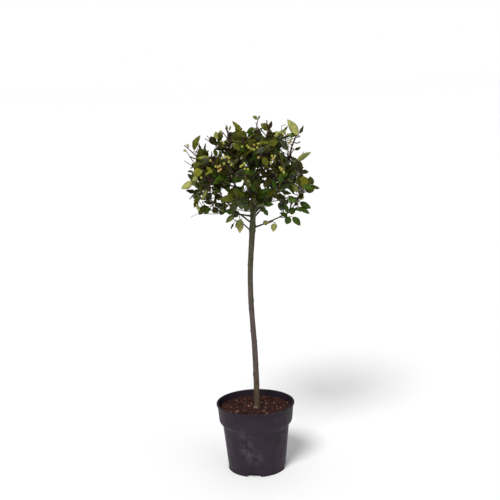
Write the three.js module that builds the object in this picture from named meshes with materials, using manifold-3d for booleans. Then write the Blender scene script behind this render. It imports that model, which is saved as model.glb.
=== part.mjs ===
// Standard holly: a mop-headed holly with berries on a clear stem, growing in a round plastic
// nursery pot of compost. The trunk stands on the compost and forks at the head; each bough is one
// tapering limb, and ends where it enters its mass of foliage. A mass is one solid: a stem that
// carries on from the bough, leafy shoots that branch off the stem, and berries on some shoots.
// Millimetres, +Z up. The origin is the centre of the flat underside of the pot.

import * as THREE from "three";
import { mergeVertices } from "three/addons/utils/BufferGeometryUtils.js";
import Module from "manifold-3d";

const wasm = await Module();
wasm.setup();

// ---------------------------------------------------------------- driving dimensions

const GAP = 0.3; // between two solids that touch on the real plant
const TURN = 2 * Math.PI;
const GOLDEN_ANGLE = Math.PI * (3 - Math.sqrt(5));
const DEGREE = Math.PI / 180;

// Pot: a rolled lip, a deep collar, a step, and a tapering body on a narrow foot ring.
const POT_HEIGHT = 192;
const POT_SIDES = 32;
const WALL = 2;
const LIP = { radius: 110, height: 5, stand: 3 };
const COLLAR = { height: 48, footRadius: 103.5 };
const STEP = { drop: 15, radius: 93.5 };
const FOOT = { radius: 80.6, height: 5, stand: 1.2 };

// Drainage notches: trapezoid tunnels in the edge of the base, each with a hole in its ceiling.
const NOTCH = { count: 4, heading: -97, width: 40, topWidth: 31, height: 9.8, reach: 38 };
const DRAIN_RADIUS = 6;

// Compost: a slightly mounded, lumpy top, level under the trunk.
const COMPOST_LEVEL = 174;
const COMPOST = { edgeDrop: 3, lump: 1.3, levelRadius: 20 };

// Trunk: height above the ground, radii at foot and fork, and the sideways wander of its middle.
const TRUNK = { top: 784, footRadius: 8.1, topRadius: 6.8, flare: 3.2, flareHeight: 9 };
const TRUNK_START = COMPOST_LEVEL - 2;
const TRUNK_LINE = { foot: 4.5, bow: 9, lean: 10, sway: 3 };

// Crown: a squarish ellipsoid that holds every twig and leaf.
const CROWN = { x: 5, z: 832, radius: 195, rise: 136, drop: 118, squareness: 2.8 };

// Masses of foliage in tiers: how far they sit from the axis, and how thick their boughs start and
// end. Each mass has its heading, its height, and how high its bough leaves the trunk.
const TIERS = [
  {
    name: "lower",
    radius: 114,
    bough: [2.5, 2],
    masses: [
      [-12, 738, 690],
      [60, 766, 716],
      [132, 758, 702],
      [204, 752, 722],
      [276, 764, 708],
    ],
  },
  {
    name: "middle",
    radius: 118,
    bough: [4, 2.3],
    masses: [
      [24, 846, 730],
      [96, 850, 750],
      [168, 842, 738],
      [240, 848, 750],
      [312, 844, 740],
    ],
  },
  {
    name: "top",
    radius: 66,
    bough: [4.4, 2.6],
    masses: [
      [12, 920, TRUNK.top],
      [132, 916, 766],
      [276, 914, 763],
    ],
  },
];
// One short shoot hangs its few leaves below the crown, straight from the trunk.
const LOW_SHOOT = {
  name: "low_shoot",
  heading: 188,
  radius: 32,
  height: 712,
  fork: 680,
  stem: [1.9, 1.7],
};

// Shoots: their count over the whole crown, how much of the crown's radius they reach across, and
// their thickness at stem and tip. None points straight down, where the crown is open.
const SEED = 42;
const SHOOTS = { count: 112, reach: [0.58, 0.86], radius: [1.6, 1.3], lowest: -0.8 };

// How much thicker a three-sided stem is than the round end of its bough, at foot and tip.
const STEM_SWELL = [2, 1.6];

// Sprigs: the furthest shoots, which stand out of the crown or hang below it. Each is given by the
// heading, distance from the axis and height of its tip, the most leaves it has, their length, and
// the way they point.
const SPRIGS = [
  { tip: [330, 22, 972], most: 2, size: [22, 28], aim: [-1, 0, 0.5] },
  { tip: [12, 60, 952], most: 2, size: [26, 32], aim: [0.2, 0, 1] },
  { tip: [255, 34, 936], most: 1, size: [38, 44], aim: [-0.7, -0.1, 0.9] },
  { tip: [184, 60, 938], most: 2, size: [24, 32], aim: [0, 0, 1] },
  { tip: [176, 108, 930], most: 1, size: [24, 32], aim: [-1, 0, 0.4] },
  { tip: [184, 143, 903], most: 1, size: [40, 46], aim: [0.3, 0, 1] },
  { tip: [194, 174, 908], most: 0, size: [24, 32], aim: [0, 0, 1] },
  { tip: [176, 156, 862], most: 1, size: [30, 36], aim: [-1, 0, 0.4] },
  { tip: [190, 160, 828], most: 2, size: [34, 40], aim: [-1, 0, -0.5] },
  { tip: [178, 150, 798], most: 2, size: [34, 40], aim: [-1, 0, 0] },
  { tip: [196, 132, 752], most: 3, size: [36, 42], aim: [-1, 0, -0.3] },
  { tip: [186, 58, 720], most: 2, size: [34, 40], aim: [-0.4, 0, -1] },
  { tip: [200, 34, 716], most: 2, size: [36, 42], aim: [-0.2, 0, -1] },
  { tip: [345, 126, 938], most: 2, size: [48, 54], aim: [-0.3, 0, 1] },
  { tip: [356, 134, 934], most: 1, size: [36, 42], aim: [0.7, 0, 1] },
  { tip: [352, 132, 868], most: 2, size: [48, 54], aim: [1, 0, 0.5] },
  { tip: [3, 158, 802], most: 3, size: [36, 44], aim: [1, 0, 0] },
  { tip: [350, 134, 766], most: 1, size: [36, 42], aim: [1, 0, -0.5] },
  { tip: [344, 130, 750], most: 2, size: [36, 42], aim: [1, 0, -0.6] },
  { tip: [338, 108, 722], most: 3, size: [36, 44], aim: [0.8, 0, -1] },
  { tip: [330, 62, 710], most: 1, size: [28, 34], aim: [0, 0, -1] },
  { tip: [60, 100, 948], most: 2, size: [34, 44], aim: [0.2, 0.2, 1] },
  { tip: [118, 120, 940], most: 2, size: [34, 44], aim: [0, 0.4, 1] },
  { tip: [262, 110, 946], most: 2, size: [34, 44], aim: [0, -0.4, 1] },
];
const SPRIG_LIMIT = 1.4;
const SPRIG_FACE = [0, -1, 0.3];

// Leaves: length with its short stalk, width as a share of it, and the spacing along a shoot.
const LEAF = {
  length: [46, 60],
  width: 0.6,
  thickness: 1.1,
  stalk: 0.6,
  fold: 0.32,
  droop: 0.1,
  apart: 9,
  spacing: 14,
  most: 5,
  tries: 12,
};

// How far blades keep off the limbs that pass through or by their mass.
const LIMB_CLEARANCE = 2.5;

// Berries: unripe, in threes where they sit on a shoot.
const BERRY = { radius: 4.4, perCluster: 3, share: 0.24, along: 0.5 };

const COLOURS = {
  pot: { color: 0x35303a, roughness: 0.5, metalness: 0 },
  compost: { color: 0x2b1914, roughness: 0.95, metalness: 0 },
  bark: { color: 0x5c5346, roughness: 0.8, metalness: 0 },
  foliage: { color: 0x2f4218, roughness: 0.4, metalness: 0 },
};

// ---------------------------------------------------------------- solids and numbers

/** A closed geometry as a manifold-3d solid. */
function solidOf(geometry) {
  const bare = geometry.clone();
  bare.deleteAttribute("normal");
  bare.deleteAttribute("uv");
  const merged = mergeVertices(bare, 1e-4);
  return new wasm.Manifold(
    new wasm.Mesh({
      numProp: 3,
      vertProperties: new Float32Array(merged.attributes.position.array),
      triVerts: new Uint32Array(merged.index.array),
    }),
  );
}

/** A manifold-3d solid as a named mesh. */
function meshOf(name, solid, look) {
  const { vertProperties, triVerts } = solid.getMesh();
  const geometry = new THREE.BufferGeometry()
    .setAttribute("position", new THREE.BufferAttribute(vertProperties, 3))
    .setIndex(new THREE.BufferAttribute(triVerts, 1));
  geometry.computeVertexNormals();
  const mesh = new THREE.Mesh(geometry, new THREE.MeshStandardMaterial(look));
  mesh.name = name;
  return mesh;
}

/** Joins solids into one, then drops loose scraps and fills hollows that the joining sealed. */
function fuse(solids) {
  const pieces = solids.reduce((whole, piece) => whole.add(piece)).decompose();
  return pieces.reduce((best, piece) => (piece.volume() > best.volume() ? piece : best));
}

/** Even random numbers from 0 to 1, the same ones for the same seed. */
function seededRandom(seed) {
  let state = seed;
  return () => {
    state = (state * 1664525 + 1013904223) % 4294967296;
    return state / 4294967296;
  };
}

const mix = (a, b, share) => a + (b - a) * share;
const clamp = (value, low, high) => Math.min(high, Math.max(low, value));
const vector = (x, y, z) => new THREE.Vector3(x, y, z);
const UP = vector(0, 0, 1);

/** A point at a heading and distance from the crown's axis. Heading 0 is +X and 90 is +Y. */
function around(heading, radius, height) {
  const angle = heading * DEGREE;
  return vector(CROWN.x + radius * Math.cos(angle), radius * Math.sin(angle), height);
}

/** The part of a vector at right angles to a unit axis, as a unit vector. */
function across(v, axis) {
  return v.clone().addScaledVector(axis, -v.dot(axis)).normalize();
}

// ---------------------------------------------------------------- limbs

/** A quadratic Bezier curve as a function from 0..1 to a point. */
function bend(start, middle, end) {
  const curve = new THREE.QuadraticBezierCurve3(start, middle, end);
  return (share) => curve.getPoint(share);
}

/** The stretch of a path between two shares of it. */
function stretch(path, from, to) {
  return (share) => path(mix(from, to, share));
}

/** The unit direction of a path at a share of it. */
function heading(path, share) {
  const step = 1e-3;
  const ahead = path(Math.min(1, share + step));
  return ahead.sub(path(Math.max(0, share - step))).normalize();
}

/** A unit cylinder along Y whose flat ends have no middle vertex. */
function cappedCylinder(sides, steps) {
  const geometry = new THREE.CylinderGeometry(1, 1, 1, sides, steps, true);
  const faces = [...geometry.index.array];
  const lastRow = steps * (sides + 1);
  for (let i = 1; i < sides - 1; i += 1) {
    faces.push(0, i, i + 1, lastRow, lastRow + i + 1, lastRow + i);
  }
  return geometry.setIndex(faces);
}

/**
 * A tapering limb along a path: a three.js cylinder whose rings are set across the path. Growing
 * it swells the sides and both ends, which makes the cutter that leaves a gap round a limb.
 */
function limb(path, radiusAt, sides, steps, grow = 0) {
  const geometry = cappedCylinder(sides, steps);
  const position = geometry.attributes.position;
  const reference = Math.abs(heading(path, 0.5).z) > 0.9 ? vector(1, 0, 0) : UP;
  for (let i = 0; i < position.count; i += 1) {
    const share = Math.round((position.getY(i) + 0.5) * steps) / steps;
    const tangent = heading(path, share);
    const side = across(reference, tangent);
    const other = tangent.clone().cross(side);
    const radius = radiusAt(share) + grow;
    const end = share === 0 ? -grow : share === 1 ? grow : 0;
    const point = path(share)
      .addScaledVector(side, -radius * position.getX(i))
      .addScaledVector(other, radius * position.getZ(i))
      .addScaledVector(tangent, end);
    position.setXYZ(i, point.x, point.y, point.z);
  }
  return solidOf(geometry);
}

/** The trunk's centreline: upright at the foot, bowed in the middle, leaning at the fork. */
function trunkLine(share) {
  const bow = Math.sin(Math.PI * share ** 1.25) ** 3;
  return vector(
    TRUNK_LINE.foot - TRUNK_LINE.bow * bow + TRUNK_LINE.lean * share ** 7,
    TRUNK_LINE.sway * Math.sin(TURN * share),
    mix(TRUNK_START, TRUNK.top, share),
  );
}

const trunkShare = (height) => (height - TRUNK_START) / (TRUNK.top - TRUNK_START);

function trunkRadius(share) {
  const height = share * (TRUNK.top - TRUNK_START);
  const flare = TRUNK.flare * Math.exp(-height / TRUNK.flareHeight);
  return mix(TRUNK.footRadius, TRUNK.topRadius, share) + flare;
}

/** A path or radius whose steps crowd towards the foot, where the flare needs them. */
const crowded = (path) => (share) => path(share ** 1.6);

/** The trunk, cut level just clear of the compost. */
function makeTrunk(grow) {
  const whole = limb(crowded(trunkLine), crowded(trunkRadius), 10, 14, grow);
  return whole.trimByPlane([0, 0, 1], COMPOST_LEVEL + GAP);
}

// ---------------------------------------------------------------- pot and compost

/** A lathe solid about +Z from a profile of [radius, height] pairs. */
function turned(profile) {
  const points = profile.map(([radius, height]) => new THREE.Vector2(radius, height));
  return new THREE.LatheGeometry(points, POT_SIDES).rotateX(Math.PI / 2);
}

function potOutside() {
  const collarFoot = POT_HEIGHT - COLLAR.height;
  const bodyTop = collarFoot - STEP.drop;
  const footRadius = FOOT.radius + FOOT.stand;
  return solidOf(
    turned([
      [0, 0],
      [footRadius - 0.6, 0],
      [footRadius, FOOT.height - 1],
      [FOOT.radius + 0.4, FOOT.height],
      [STEP.radius, bodyTop],
      [mix(STEP.radius, COLLAR.footRadius, 0.8), collarFoot - STEP.drop * 0.35],
      [COLLAR.footRadius, collarFoot],
      [LIP.radius - LIP.stand, POT_HEIGHT - LIP.height - 1],
      [LIP.radius, POT_HEIGHT - LIP.height + 0.5],
      [LIP.radius, POT_HEIGHT - 1],
      [LIP.radius - 1.5, POT_HEIGHT],
      [0, POT_HEIGHT],
    ]),
  );
}

/** The space inside the pot, shrunk all round by an inset, with its top edge given. */
function potInside(inset, top) {
  const collarFoot = POT_HEIGHT - COLLAR.height;
  const bodyTop = collarFoot - STEP.drop;
  const inner = WALL + inset;
  return [
    [0, WALL + inset],
    [FOOT.radius - inner - 2, WALL + inset],
    [FOOT.radius - inner, WALL + inset + 2],
    [STEP.radius - inner, bodyTop],
    [mix(STEP.radius, COLLAR.footRadius, 0.8) - inner, collarFoot - STEP.drop * 0.35],
    [COLLAR.footRadius - inner, collarFoot],
    ...top,
  ];
}

/** One drainage notch as a prism that runs in from the edge of the base, grown all round. */
function notchPrism(index, grow) {
  const foot = NOTCH.width / 2 + grow;
  const head = NOTCH.topWidth / 2 + grow;
  const shape = new THREE.Shape([
    new THREE.Vector2(-foot - 1, -1),
    new THREE.Vector2(foot + 1, -1),
    new THREE.Vector2(head, NOTCH.height + grow),
    new THREE.Vector2(-head, NOTCH.height + grow),
  ]);
  const depth = NOTCH.reach + grow;
  const turn = (NOTCH.heading + (index * 360) / NOTCH.count + 90) * DEGREE;
  return new THREE.ExtrudeGeometry(shape, { depth, bevelEnabled: false })
    .rotateX(Math.PI / 2)
    .translate(0, depth - FOOT.radius - 5, 0)
    .rotateZ(turn);
}

function drainHole(index) {
  const turn = (NOTCH.heading + (index * 360) / NOTCH.count + 90) * DEGREE;
  const middle = FOOT.radius - NOTCH.reach / 2 - 4;
  return new THREE.CylinderGeometry(DRAIN_RADIUS, DRAIN_RADIUS, 8, 8)
    .rotateX(Math.PI / 2)
    .translate(0, -middle, NOTCH.height)
    .rotateZ(turn);
}

/** Takes every drainage notch, grown by some amount, out of a solid. */
function withoutNotches(solid, grow) {
  let left = solid;
  for (let i = 0; i < NOTCH.count; i += 1) {
    left = left.subtract(solidOf(notchPrism(i, grow)));
  }
  return left;
}

function makePot() {
  const collarTop = LIP.radius - LIP.stand - WALL;
  const inside = turned(
    potInside(0, [
      [collarTop, POT_HEIGHT - LIP.height],
      [collarTop + 1, POT_HEIGHT + 1],
      [0, POT_HEIGHT + 1],
    ]),
  );
  let pot = potOutside().subtract(withoutNotches(solidOf(inside), WALL));
  pot = withoutNotches(pot, 0);
  for (let i = 0; i < NOTCH.count; i += 1) {
    pot = pot.subtract(solidOf(drainHole(i)));
  }
  return pot;
}

/** Height of the lumps in the compost, level within a radius of the trunk. */
function lumps(x, y) {
  const rough = Math.sin(x / 9 + 1) * Math.cos(y / 7) + Math.sin(x / 4.3 - y / 5.1);
  const outside = clamp((Math.hypot(x, y) - COMPOST.levelRadius) / 8, 0, 1);
  return COMPOST.lump * rough * outside;
}

function makeCompost() {
  const collarFoot = POT_HEIGHT - COLLAR.height;
  const edge = COMPOST_LEVEL - COMPOST.edgeDrop;
  const slope = (LIP.radius - LIP.stand - COLLAR.footRadius) / (COLLAR.height - LIP.height);
  const edgeRadius = COLLAR.footRadius - WALL - GAP + (edge - collarFoot) * slope;
  const top = [[edgeRadius, edge]];
  for (const share of [0.93, 0.7, 0.45]) {
    top.push([edgeRadius * share, mix(COMPOST_LEVEL, edge, share ** 2)]);
  }
  top.push([COMPOST.levelRadius, COMPOST_LEVEL], [0, COMPOST_LEVEL]);
  const geometry = turned(potInside(GAP, top));
  const position = geometry.attributes.position;
  for (let i = 0; i < position.count; i += 1) {
    const radius = Math.hypot(position.getX(i), position.getY(i));
    if (position.getZ(i) > edge && radius < edgeRadius - 1) {
      position.setZ(i, position.getZ(i) + lumps(position.getX(i), position.getY(i)));
    }
  }
  return withoutNotches(solidOf(geometry), WALL + GAP);
}

// ---------------------------------------------------------------- masses and their boughs

/** Every mass of foliage: its name, the middle of its space, and the bough that feeds it. */
function planMasses() {
  const masses = [];
  for (const tier of TIERS) {
    tier.masses.forEach(([direction, height, fork], i) => {
      const site = around(direction, tier.radius, height);
      masses.push({ name: `${tier.name}_${i + 1}`, site, fork, bough: tier.bough });
    });
  }
  const { name, heading: direction, radius, height, fork, stem } = LOW_SHOOT;
  masses.push({ name, site: around(direction, radius, height), fork, bough: stem });
  for (const mass of masses) {
    mass.path = limbPath(mass);
  }
  return masses;
}

/** The line of a bough and of the stem that carries it on, from inside the trunk to its site. */
function limbPath({ site, fork }) {
  const start = trunkLine(Math.min(trunkShare(fork), 0.995));
  const span = site.clone().sub(start);
  const flat = vector(span.x, span.y, 0);
  const middle = start.clone().addScaledVector(flat, 0.42);
  middle.z += span.z * 0.3;
  if (fork >= TRUNK.top) {
    middle.copy(start).addScaledVector(flat, 0.25);
    middle.z += span.z * 0.55;
  }
  return bend(start, middle, site);
}

/** How far out a point lies in the crown: 1 is its surface. */
function crownShare(point) {
  const p = CROWN.squareness;
  const rise = point.z - CROWN.z;
  const sideways = Math.hypot(point.x - CROWN.x, point.y) / CROWN.radius;
  const upwards = Math.abs(rise) / (rise > 0 ? CROWN.rise : CROWN.drop);
  return (sideways ** p + upwards ** p) ** (1 / p);
}

/** Whether a point lies in a mass's own space: nearer to its site than to any other mass's. */
function inSpace(point, mass, masses, margin) {
  return masses.every((other) => {
    const between = other.site.clone().sub(mass.site);
    const half = between.length() / 2;
    return other === mass || point.clone().sub(mass.site).dot(between) / (2 * half) < half - margin;
  });
}

/** The share of a limb's path where it enters the space of its mass for good. */
function entryShare(mass, masses) {
  const steps = 60;
  let share = 1;
  while (share > 0 && inSpace(mass.path(share), mass, masses, 5)) {
    share -= 1 / steps;
  }
  return clamp(share + 1 / steps, 0.12, 0.9);
}

/** Points along the middle of every limb with the radius there, to keep foliage clear of. */
function limbSamples(limbs) {
  const samples = [];
  for (const { path, radiusAt } of limbs) {
    const steps = Math.ceil(path(0).distanceTo(path(1)) / 3);
    for (let i = 0; i <= steps; i += 1) {
      samples.push({ point: path(i / steps), radius: radiusAt(i / steps) });
    }
  }
  return samples;
}

const isClear = (point, samples, margin) =>
  samples.every((sample) => sample.point.distanceTo(point) > sample.radius + margin);

// ---------------------------------------------------------------- leaves and berries

/**
 * The corners of a leaf: its stalk's top and bottom, left edge, right edge, tip, and the middle
 * of its upper face. The blade folds up along the midrib and droops to its tip.
 */
function leafPoints({ root, along, face, length }) {
  const side = face.clone().cross(along);
  const half = (length * LEAF.width) / 2;
  const place = (forward, sideways, upwards) =>
    root
      .clone()
      .addScaledVector(along, forward)
      .addScaledVector(side, sideways)
      .addScaledVector(face, upwards);
  const stalk = LEAF.stalk / 2;
  const droop = -length * LEAF.droop;
  return [
    place(0, 0, stalk),
    place(0, 0, -stalk),
    place(length * 0.46, half, half * LEAF.fold),
    place(length * 0.46, -half, half * LEAF.fold),
    place(length, 0, droop),
    place(length * 0.5, 0, LEAF.thickness - (stalk - droop) / 2),
  ];
}

const LEAF_FACES = [
  [0, 5, 2],
  [5, 4, 2],
  [0, 3, 5],
  [5, 3, 4],
  [1, 2, 4],
  [1, 4, 3],
  [0, 2, 1],
  [0, 1, 3],
];

function leafSolid(leaf) {
  const geometry = new THREE.BufferGeometry().setFromPoints(leafPoints(leaf));
  geometry.setIndex(LEAF_FACES.flat());
  return solidOf(geometry);
}

/** Whether a line from one point to another passes through a triangle. */
function pierces(from, to, [a, b, c]) {
  const line = to.clone().sub(from);
  const edgeB = b.clone().sub(a);
  const edgeC = c.clone().sub(a);
  const normal = edgeB.clone().cross(edgeC);
  const slant = line.dot(normal);
  if (Math.abs(slant) < 1e-9) {
    return false;
  }
  const offset = from.clone().sub(a);
  const turn = line.clone().cross(offset);
  const reach = -offset.dot(normal) / slant;
  const shareB = edgeC.dot(turn) / slant;
  const shareC = -edgeB.dot(turn) / slant;
  return reach >= 0 && reach <= 1 && shareB >= 0 && shareC >= 0 && shareB + shareC <= 1;
}

const cuts = (lines, triangles) =>
  lines.some(([from, to]) => triangles.some((triangle) => pierces(from, to, triangle)));

/** A leaf with the two halves of its blade as triangles, and the lines that bound them. */
function bladeOf(leaf) {
  const points = leafPoints(leaf);
  const [stalk, , left, right, tip] = points;
  const halves = [
    [stalk, left, tip],
    [stalk, tip, right],
  ];
  const lines = [
    [stalk, left],
    [left, tip],
    [tip, right],
    [right, stalk],
    [stalk, tip],
  ];
  return { points, halves, lines, middle: stalk.clone().add(tip).multiplyScalar(0.5) };
}

/** Whether two blades cross each other, or lie too close face to face. */
function bladesClash(a, b) {
  const apart = a.middle.distanceTo(b.middle);
  if (apart > LEAF.length[1]) {
    return false;
  }
  return apart < LEAF.apart || cuts(a.lines, b.halves) || cuts(b.lines, a.halves);
}

/** Whether a blade keeps off every limb: neither pierced by one nor lying against one. */
function bladeIsClear(blade, samples) {
  const shares = [0.2, 0.4, 0.6, 0.8, 1];
  return blade.lines.every(([from, to]) =>
    shares.every((share) => isClear(from.clone().lerp(to, share), samples, LIMB_CLEARANCE)),
  );
}

/** The middles of the berries in a cluster that sits round a shoot. */
function berryMiddles(shoot, share, start) {
  const axis = heading(shoot, share);
  const side = across(UP, axis);
  const other = axis.clone().cross(side);
  const middles = [];
  for (let i = 0; i < BERRY.perCluster; i += 1) {
    const angle = start + (i * TURN) / BERRY.perCluster;
    middles.push(
      shoot(share)
        .addScaledVector(axis, (i - 1) * BERRY.radius * 0.5)
        .addScaledVector(side, Math.cos(angle) * BERRY.radius * 1.2)
        .addScaledVector(other, Math.sin(angle) * BERRY.radius * 1.2),
    );
  }
  return middles;
}

const berrySolid = ({ x, y, z }) =>
  solidOf(new THREE.OctahedronGeometry(BERRY.radius).translate(x, y, z));

// ---------------------------------------------------------------- growth of one mass

/** The tips of all shoots: evenly spread ones within the crown, then the sprigs. */
function shootTargets() {
  const random = seededRandom(7);
  const targets = [];
  const centre = vector(CROWN.x, 0, CROWN.z);
  for (let i = 0; i < SHOOTS.count; i += 1) {
    const z = 1 - (2 * (i + 0.5)) / SHOOTS.count;
    const flat = Math.sqrt(1 - z * z);
    const angle = i * GOLDEN_ANGLE;
    const tip = vector(flat * Math.cos(angle), flat * Math.sin(angle), z).add(centre);
    const share = mix(...SHOOTS.reach, random()) / crownShare(tip);
    if (z > SHOOTS.lowest) {
      tip.sub(centre).multiplyScalar(share).add(centre);
      targets.push({ tip, most: LEAF.most, size: LEAF.length, limit: 1 });
    }
  }
  for (const { tip, most, size, aim } of SPRIGS) {
    const pose = { aim: vector(...aim).normalize(), face: vector(...SPRIG_FACE) };
    targets.push({ tip: around(...tip), most, size, limit: SPRIG_LIMIT, ...pose });
  }
  return targets;
}

/**
 * The shoots of a mass, from points spread evenly along its stem to their tips. The tips nearest
 * the trunk are reached from the foot of the stem, and the furthest from its end.
 */
function layShoots(stem, targets) {
  const axis = stem(1).sub(stem(0));
  const order = [...targets].sort((a, b) => a.tip.dot(axis) - b.tip.dot(axis));
  return order.map((target, i) => {
    const share = mix(0.08, 0.95, (i + 0.5) / order.length);
    const start = stem(share);
    return { ...target, path: (along) => start.clone().lerp(target.tip, along) };
  });
}

/**
 * Where one leaf of a shoot would stand. Leaves leave a three-sided shoot near the middles of its
 * sides, and each further try takes the next side.
 */
function proposeLeaf(shoot, share, draws, attempt) {
  const axis = heading(shoot.path, share);
  const side = across(UP, axis);
  const other = axis.clone().cross(side);
  const angle = TURN * (1 / 12 + (draws.rank + attempt) / 3) + draws.sway * (1 - 0.3 * attempt);
  const along = side
    .multiplyScalar(Math.cos(angle) * draws.spread)
    .addScaledVector(other, Math.sin(angle) * draws.spread)
    .addScaledVector(shoot.aim ?? axis, 0.5 + 0.05 * attempt)
    .addScaledVector(UP, 0.3 * draws.rise)
    .normalize();
  const root = shoot.path(share).addScaledVector(along, -0.5);
  const outward = root.clone().sub(vector(CROWN.x, 0, CROWN.z)).normalize();
  const face = across(shoot.face ?? outward.add(UP), along).applyAxisAngle(along, draws.roll);
  const length = mix(...shoot.size, draws.size) * (1 - 0.04 * attempt);
  return { root, along, face, length };
}

/** Leaves along a shoot from its tip back, skipping any that find no room. */
function growLeaves(shoot, room, random) {
  const length = shoot.path(0).distanceTo(shoot.path(1));
  const first = Math.floor(3 * random());
  for (let k = 0; k < shoot.most; k += 1) {
    const share = 1 - (0.3 + k * LEAF.spacing) / length;
    const draws = {
      rank: first + k,
      sway: (random() - 0.5) * 1.2,
      spread: k === 0 ? 0.25 : 0.85,
      rise: random(),
      roll: (random() - 0.5) * 1.1,
      size: random(),
    };
    for (let attempt = 0; attempt < LEAF.tries && share > 0.2; attempt += 1) {
      const leaf = proposeLeaf(shoot, share, draws, attempt);
      const blade = bladeOf(leaf);
      if (room.fits(blade, shoot)) {
        room.blades.push(blade);
        room.leaves.push(leaf);
        break;
      }
    }
  }
}

/** The straight lines that a path follows, for telling whether it passes through a blade. */
function chords(path) {
  const shares = [0, 1 / 3, 2 / 3, 1];
  return shares.slice(1).map((share, i) => [path(shares[i]), path(share)]);
}

/** The shoots of a mass that find room, its stem's end among them, and its berries' middles. */
function growShoots(mass, targets, keeps, random) {
  const stem = { path: mass.stem, most: LEAF.most, size: LEAF.length, limit: 1 };
  const shoots = [stem];
  const berries = [];
  for (const shoot of layShoots(mass.stem, targets)) {
    const berried = random() < BERRY.share;
    const middles = berryMiddles(shoot.path, BERRY.along, random() * TURN);
    if ([0.3, 0.5, 0.7, 0.85, 1].every((share) => keeps(shoot.path(share), 2.5))) {
      shoots.push(shoot);
      if (berried && middles.every((middle) => keeps(middle, BERRY.radius + GAP))) {
        berries.push(...middles);
      }
    }
  }
  return { shoots, berries };
}

/** One mass of foliage: stem, shoots, leaves and berries, fused into one solid. */
function growMass(mass, index, masses, limbs, targets) {
  const random = seededRandom(SEED + index);
  const samples = limbs.filter(({ point }) => point.distanceTo(mass.site) < 170);
  const keeps = (point, margin) =>
    inSpace(point, mass, masses, margin) && isClear(point, samples, margin);
  const { shoots, berries } = growShoots(mass, targets, keeps, random);
  const room = { blades: [], leaves: [] };
  room.fits = (blade, own) =>
    blade.points.every(
      (point) => crownShare(point) < own.limit && inSpace(point, mass, masses, GAP),
    ) &&
    berries.every((middle) => middle.distanceTo(blade.middle) > 3 * BERRY.radius) &&
    shoots.every((shoot) => shoot === own || !cuts(chords(shoot.path), blade.halves)) &&
    bladeIsClear(blade, samples) &&
    !room.blades.some((other) => bladesClash(blade, other));
  for (const shoot of shoots) {
    growLeaves(shoot, room, random);
  }
  const twigs = shoots.map(({ path }, i) => {
    const radii = i === 0 ? STEM_SWELL.map((swell) => swell * mass.bough[1]) : SHOOTS.radius;
    return limb(path, (share) => mix(...radii, share), 3, i === 0 ? 3 : 1);
  });
  return fuse([...twigs, ...room.leaves.map(leafSolid), ...berries.map(berrySolid)]);
}

// ---------------------------------------------------------------- the whole plant

const plant = new THREE.Group();
const masses = planMasses();
const trunk = makeTrunk(0);
const trunkCutter = makeTrunk(GAP + 0.05);

plant.add(meshOf("pot", makePot(), COLOURS.pot));
plant.add(meshOf("compost", makeCompost(), COLOURS.compost));
plant.add(meshOf("trunk", trunk, COLOURS.bark));

const limbs = [{ path: trunkLine, radiusAt: trunkRadius }];
for (const mass of masses) {
  const length = mass.path(0).distanceTo(mass.path(1));
  if (mass.name === LOW_SHOOT.name) {
    mass.stem = stretch(mass.path, TRUNK.topRadius / 2 / length, 1);
    continue;
  }
  const entry = entryShare(mass, masses);
  const path = stretch(mass.path, 0, entry);
  const radiusAt = (share) => mix(...mass.bough, share);
  limbs.push({ path, radiusAt });
  mass.stem = stretch(mass.path, entry + GAP / length, 1);
  const bough = limb(path, radiusAt, 6, 4).subtract(trunkCutter);
  plant.add(meshOf(`bough_${mass.name}`, fuse([bough]), COLOURS.bark));
}

const samples = limbSamples(limbs);
const targets = shootTargets();
masses.forEach((mass, index) => {
  const own = targets.filter(({ tip }) => inSpace(tip, mass, masses, 0));
  const solid = growMass(mass, index, masses, samples, own);
  const clear = mass.name === LOW_SHOOT.name ? fuse([solid.subtract(trunkCutter)]) : solid;
  plant.add(meshOf(`foliage_${mass.name}`, clear, COLOURS.foliage));
});

export default plant;
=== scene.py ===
"""Standard holly in its nursery pot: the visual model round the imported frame.

The plant is grown here by the same rule as its solids, and carried on to finer twigs: shoots
branch off the stem of each mass, side twigs off the shoots, and leaves, buds and berries sit on
both. Sizes are in millimetres and become metres where a mesh is made.
"""

import math
from types import SimpleNamespace

import bpy
import numpy as np
from mathutils import Matrix, Vector, noise


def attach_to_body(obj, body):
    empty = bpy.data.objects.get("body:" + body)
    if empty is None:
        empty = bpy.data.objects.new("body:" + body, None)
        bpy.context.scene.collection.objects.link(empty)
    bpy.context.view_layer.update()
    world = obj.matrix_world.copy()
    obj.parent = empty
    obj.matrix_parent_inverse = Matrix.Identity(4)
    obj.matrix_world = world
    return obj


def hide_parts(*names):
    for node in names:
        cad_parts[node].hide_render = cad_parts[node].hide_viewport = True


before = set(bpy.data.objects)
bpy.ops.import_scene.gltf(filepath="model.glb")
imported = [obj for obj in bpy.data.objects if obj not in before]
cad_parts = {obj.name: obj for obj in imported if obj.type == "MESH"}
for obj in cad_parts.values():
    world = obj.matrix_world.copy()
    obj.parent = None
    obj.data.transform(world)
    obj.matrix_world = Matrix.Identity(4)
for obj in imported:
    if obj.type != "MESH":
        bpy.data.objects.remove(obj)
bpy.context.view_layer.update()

# ---------------------------------------------------------------- the plant's named sizes

MM = 0.001
TURN = 2 * math.pi
GOLDEN_ANGLE = math.pi * (3 - math.sqrt(5))

# The gap that the solids keep from each other.
GAP = 0.3

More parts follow.
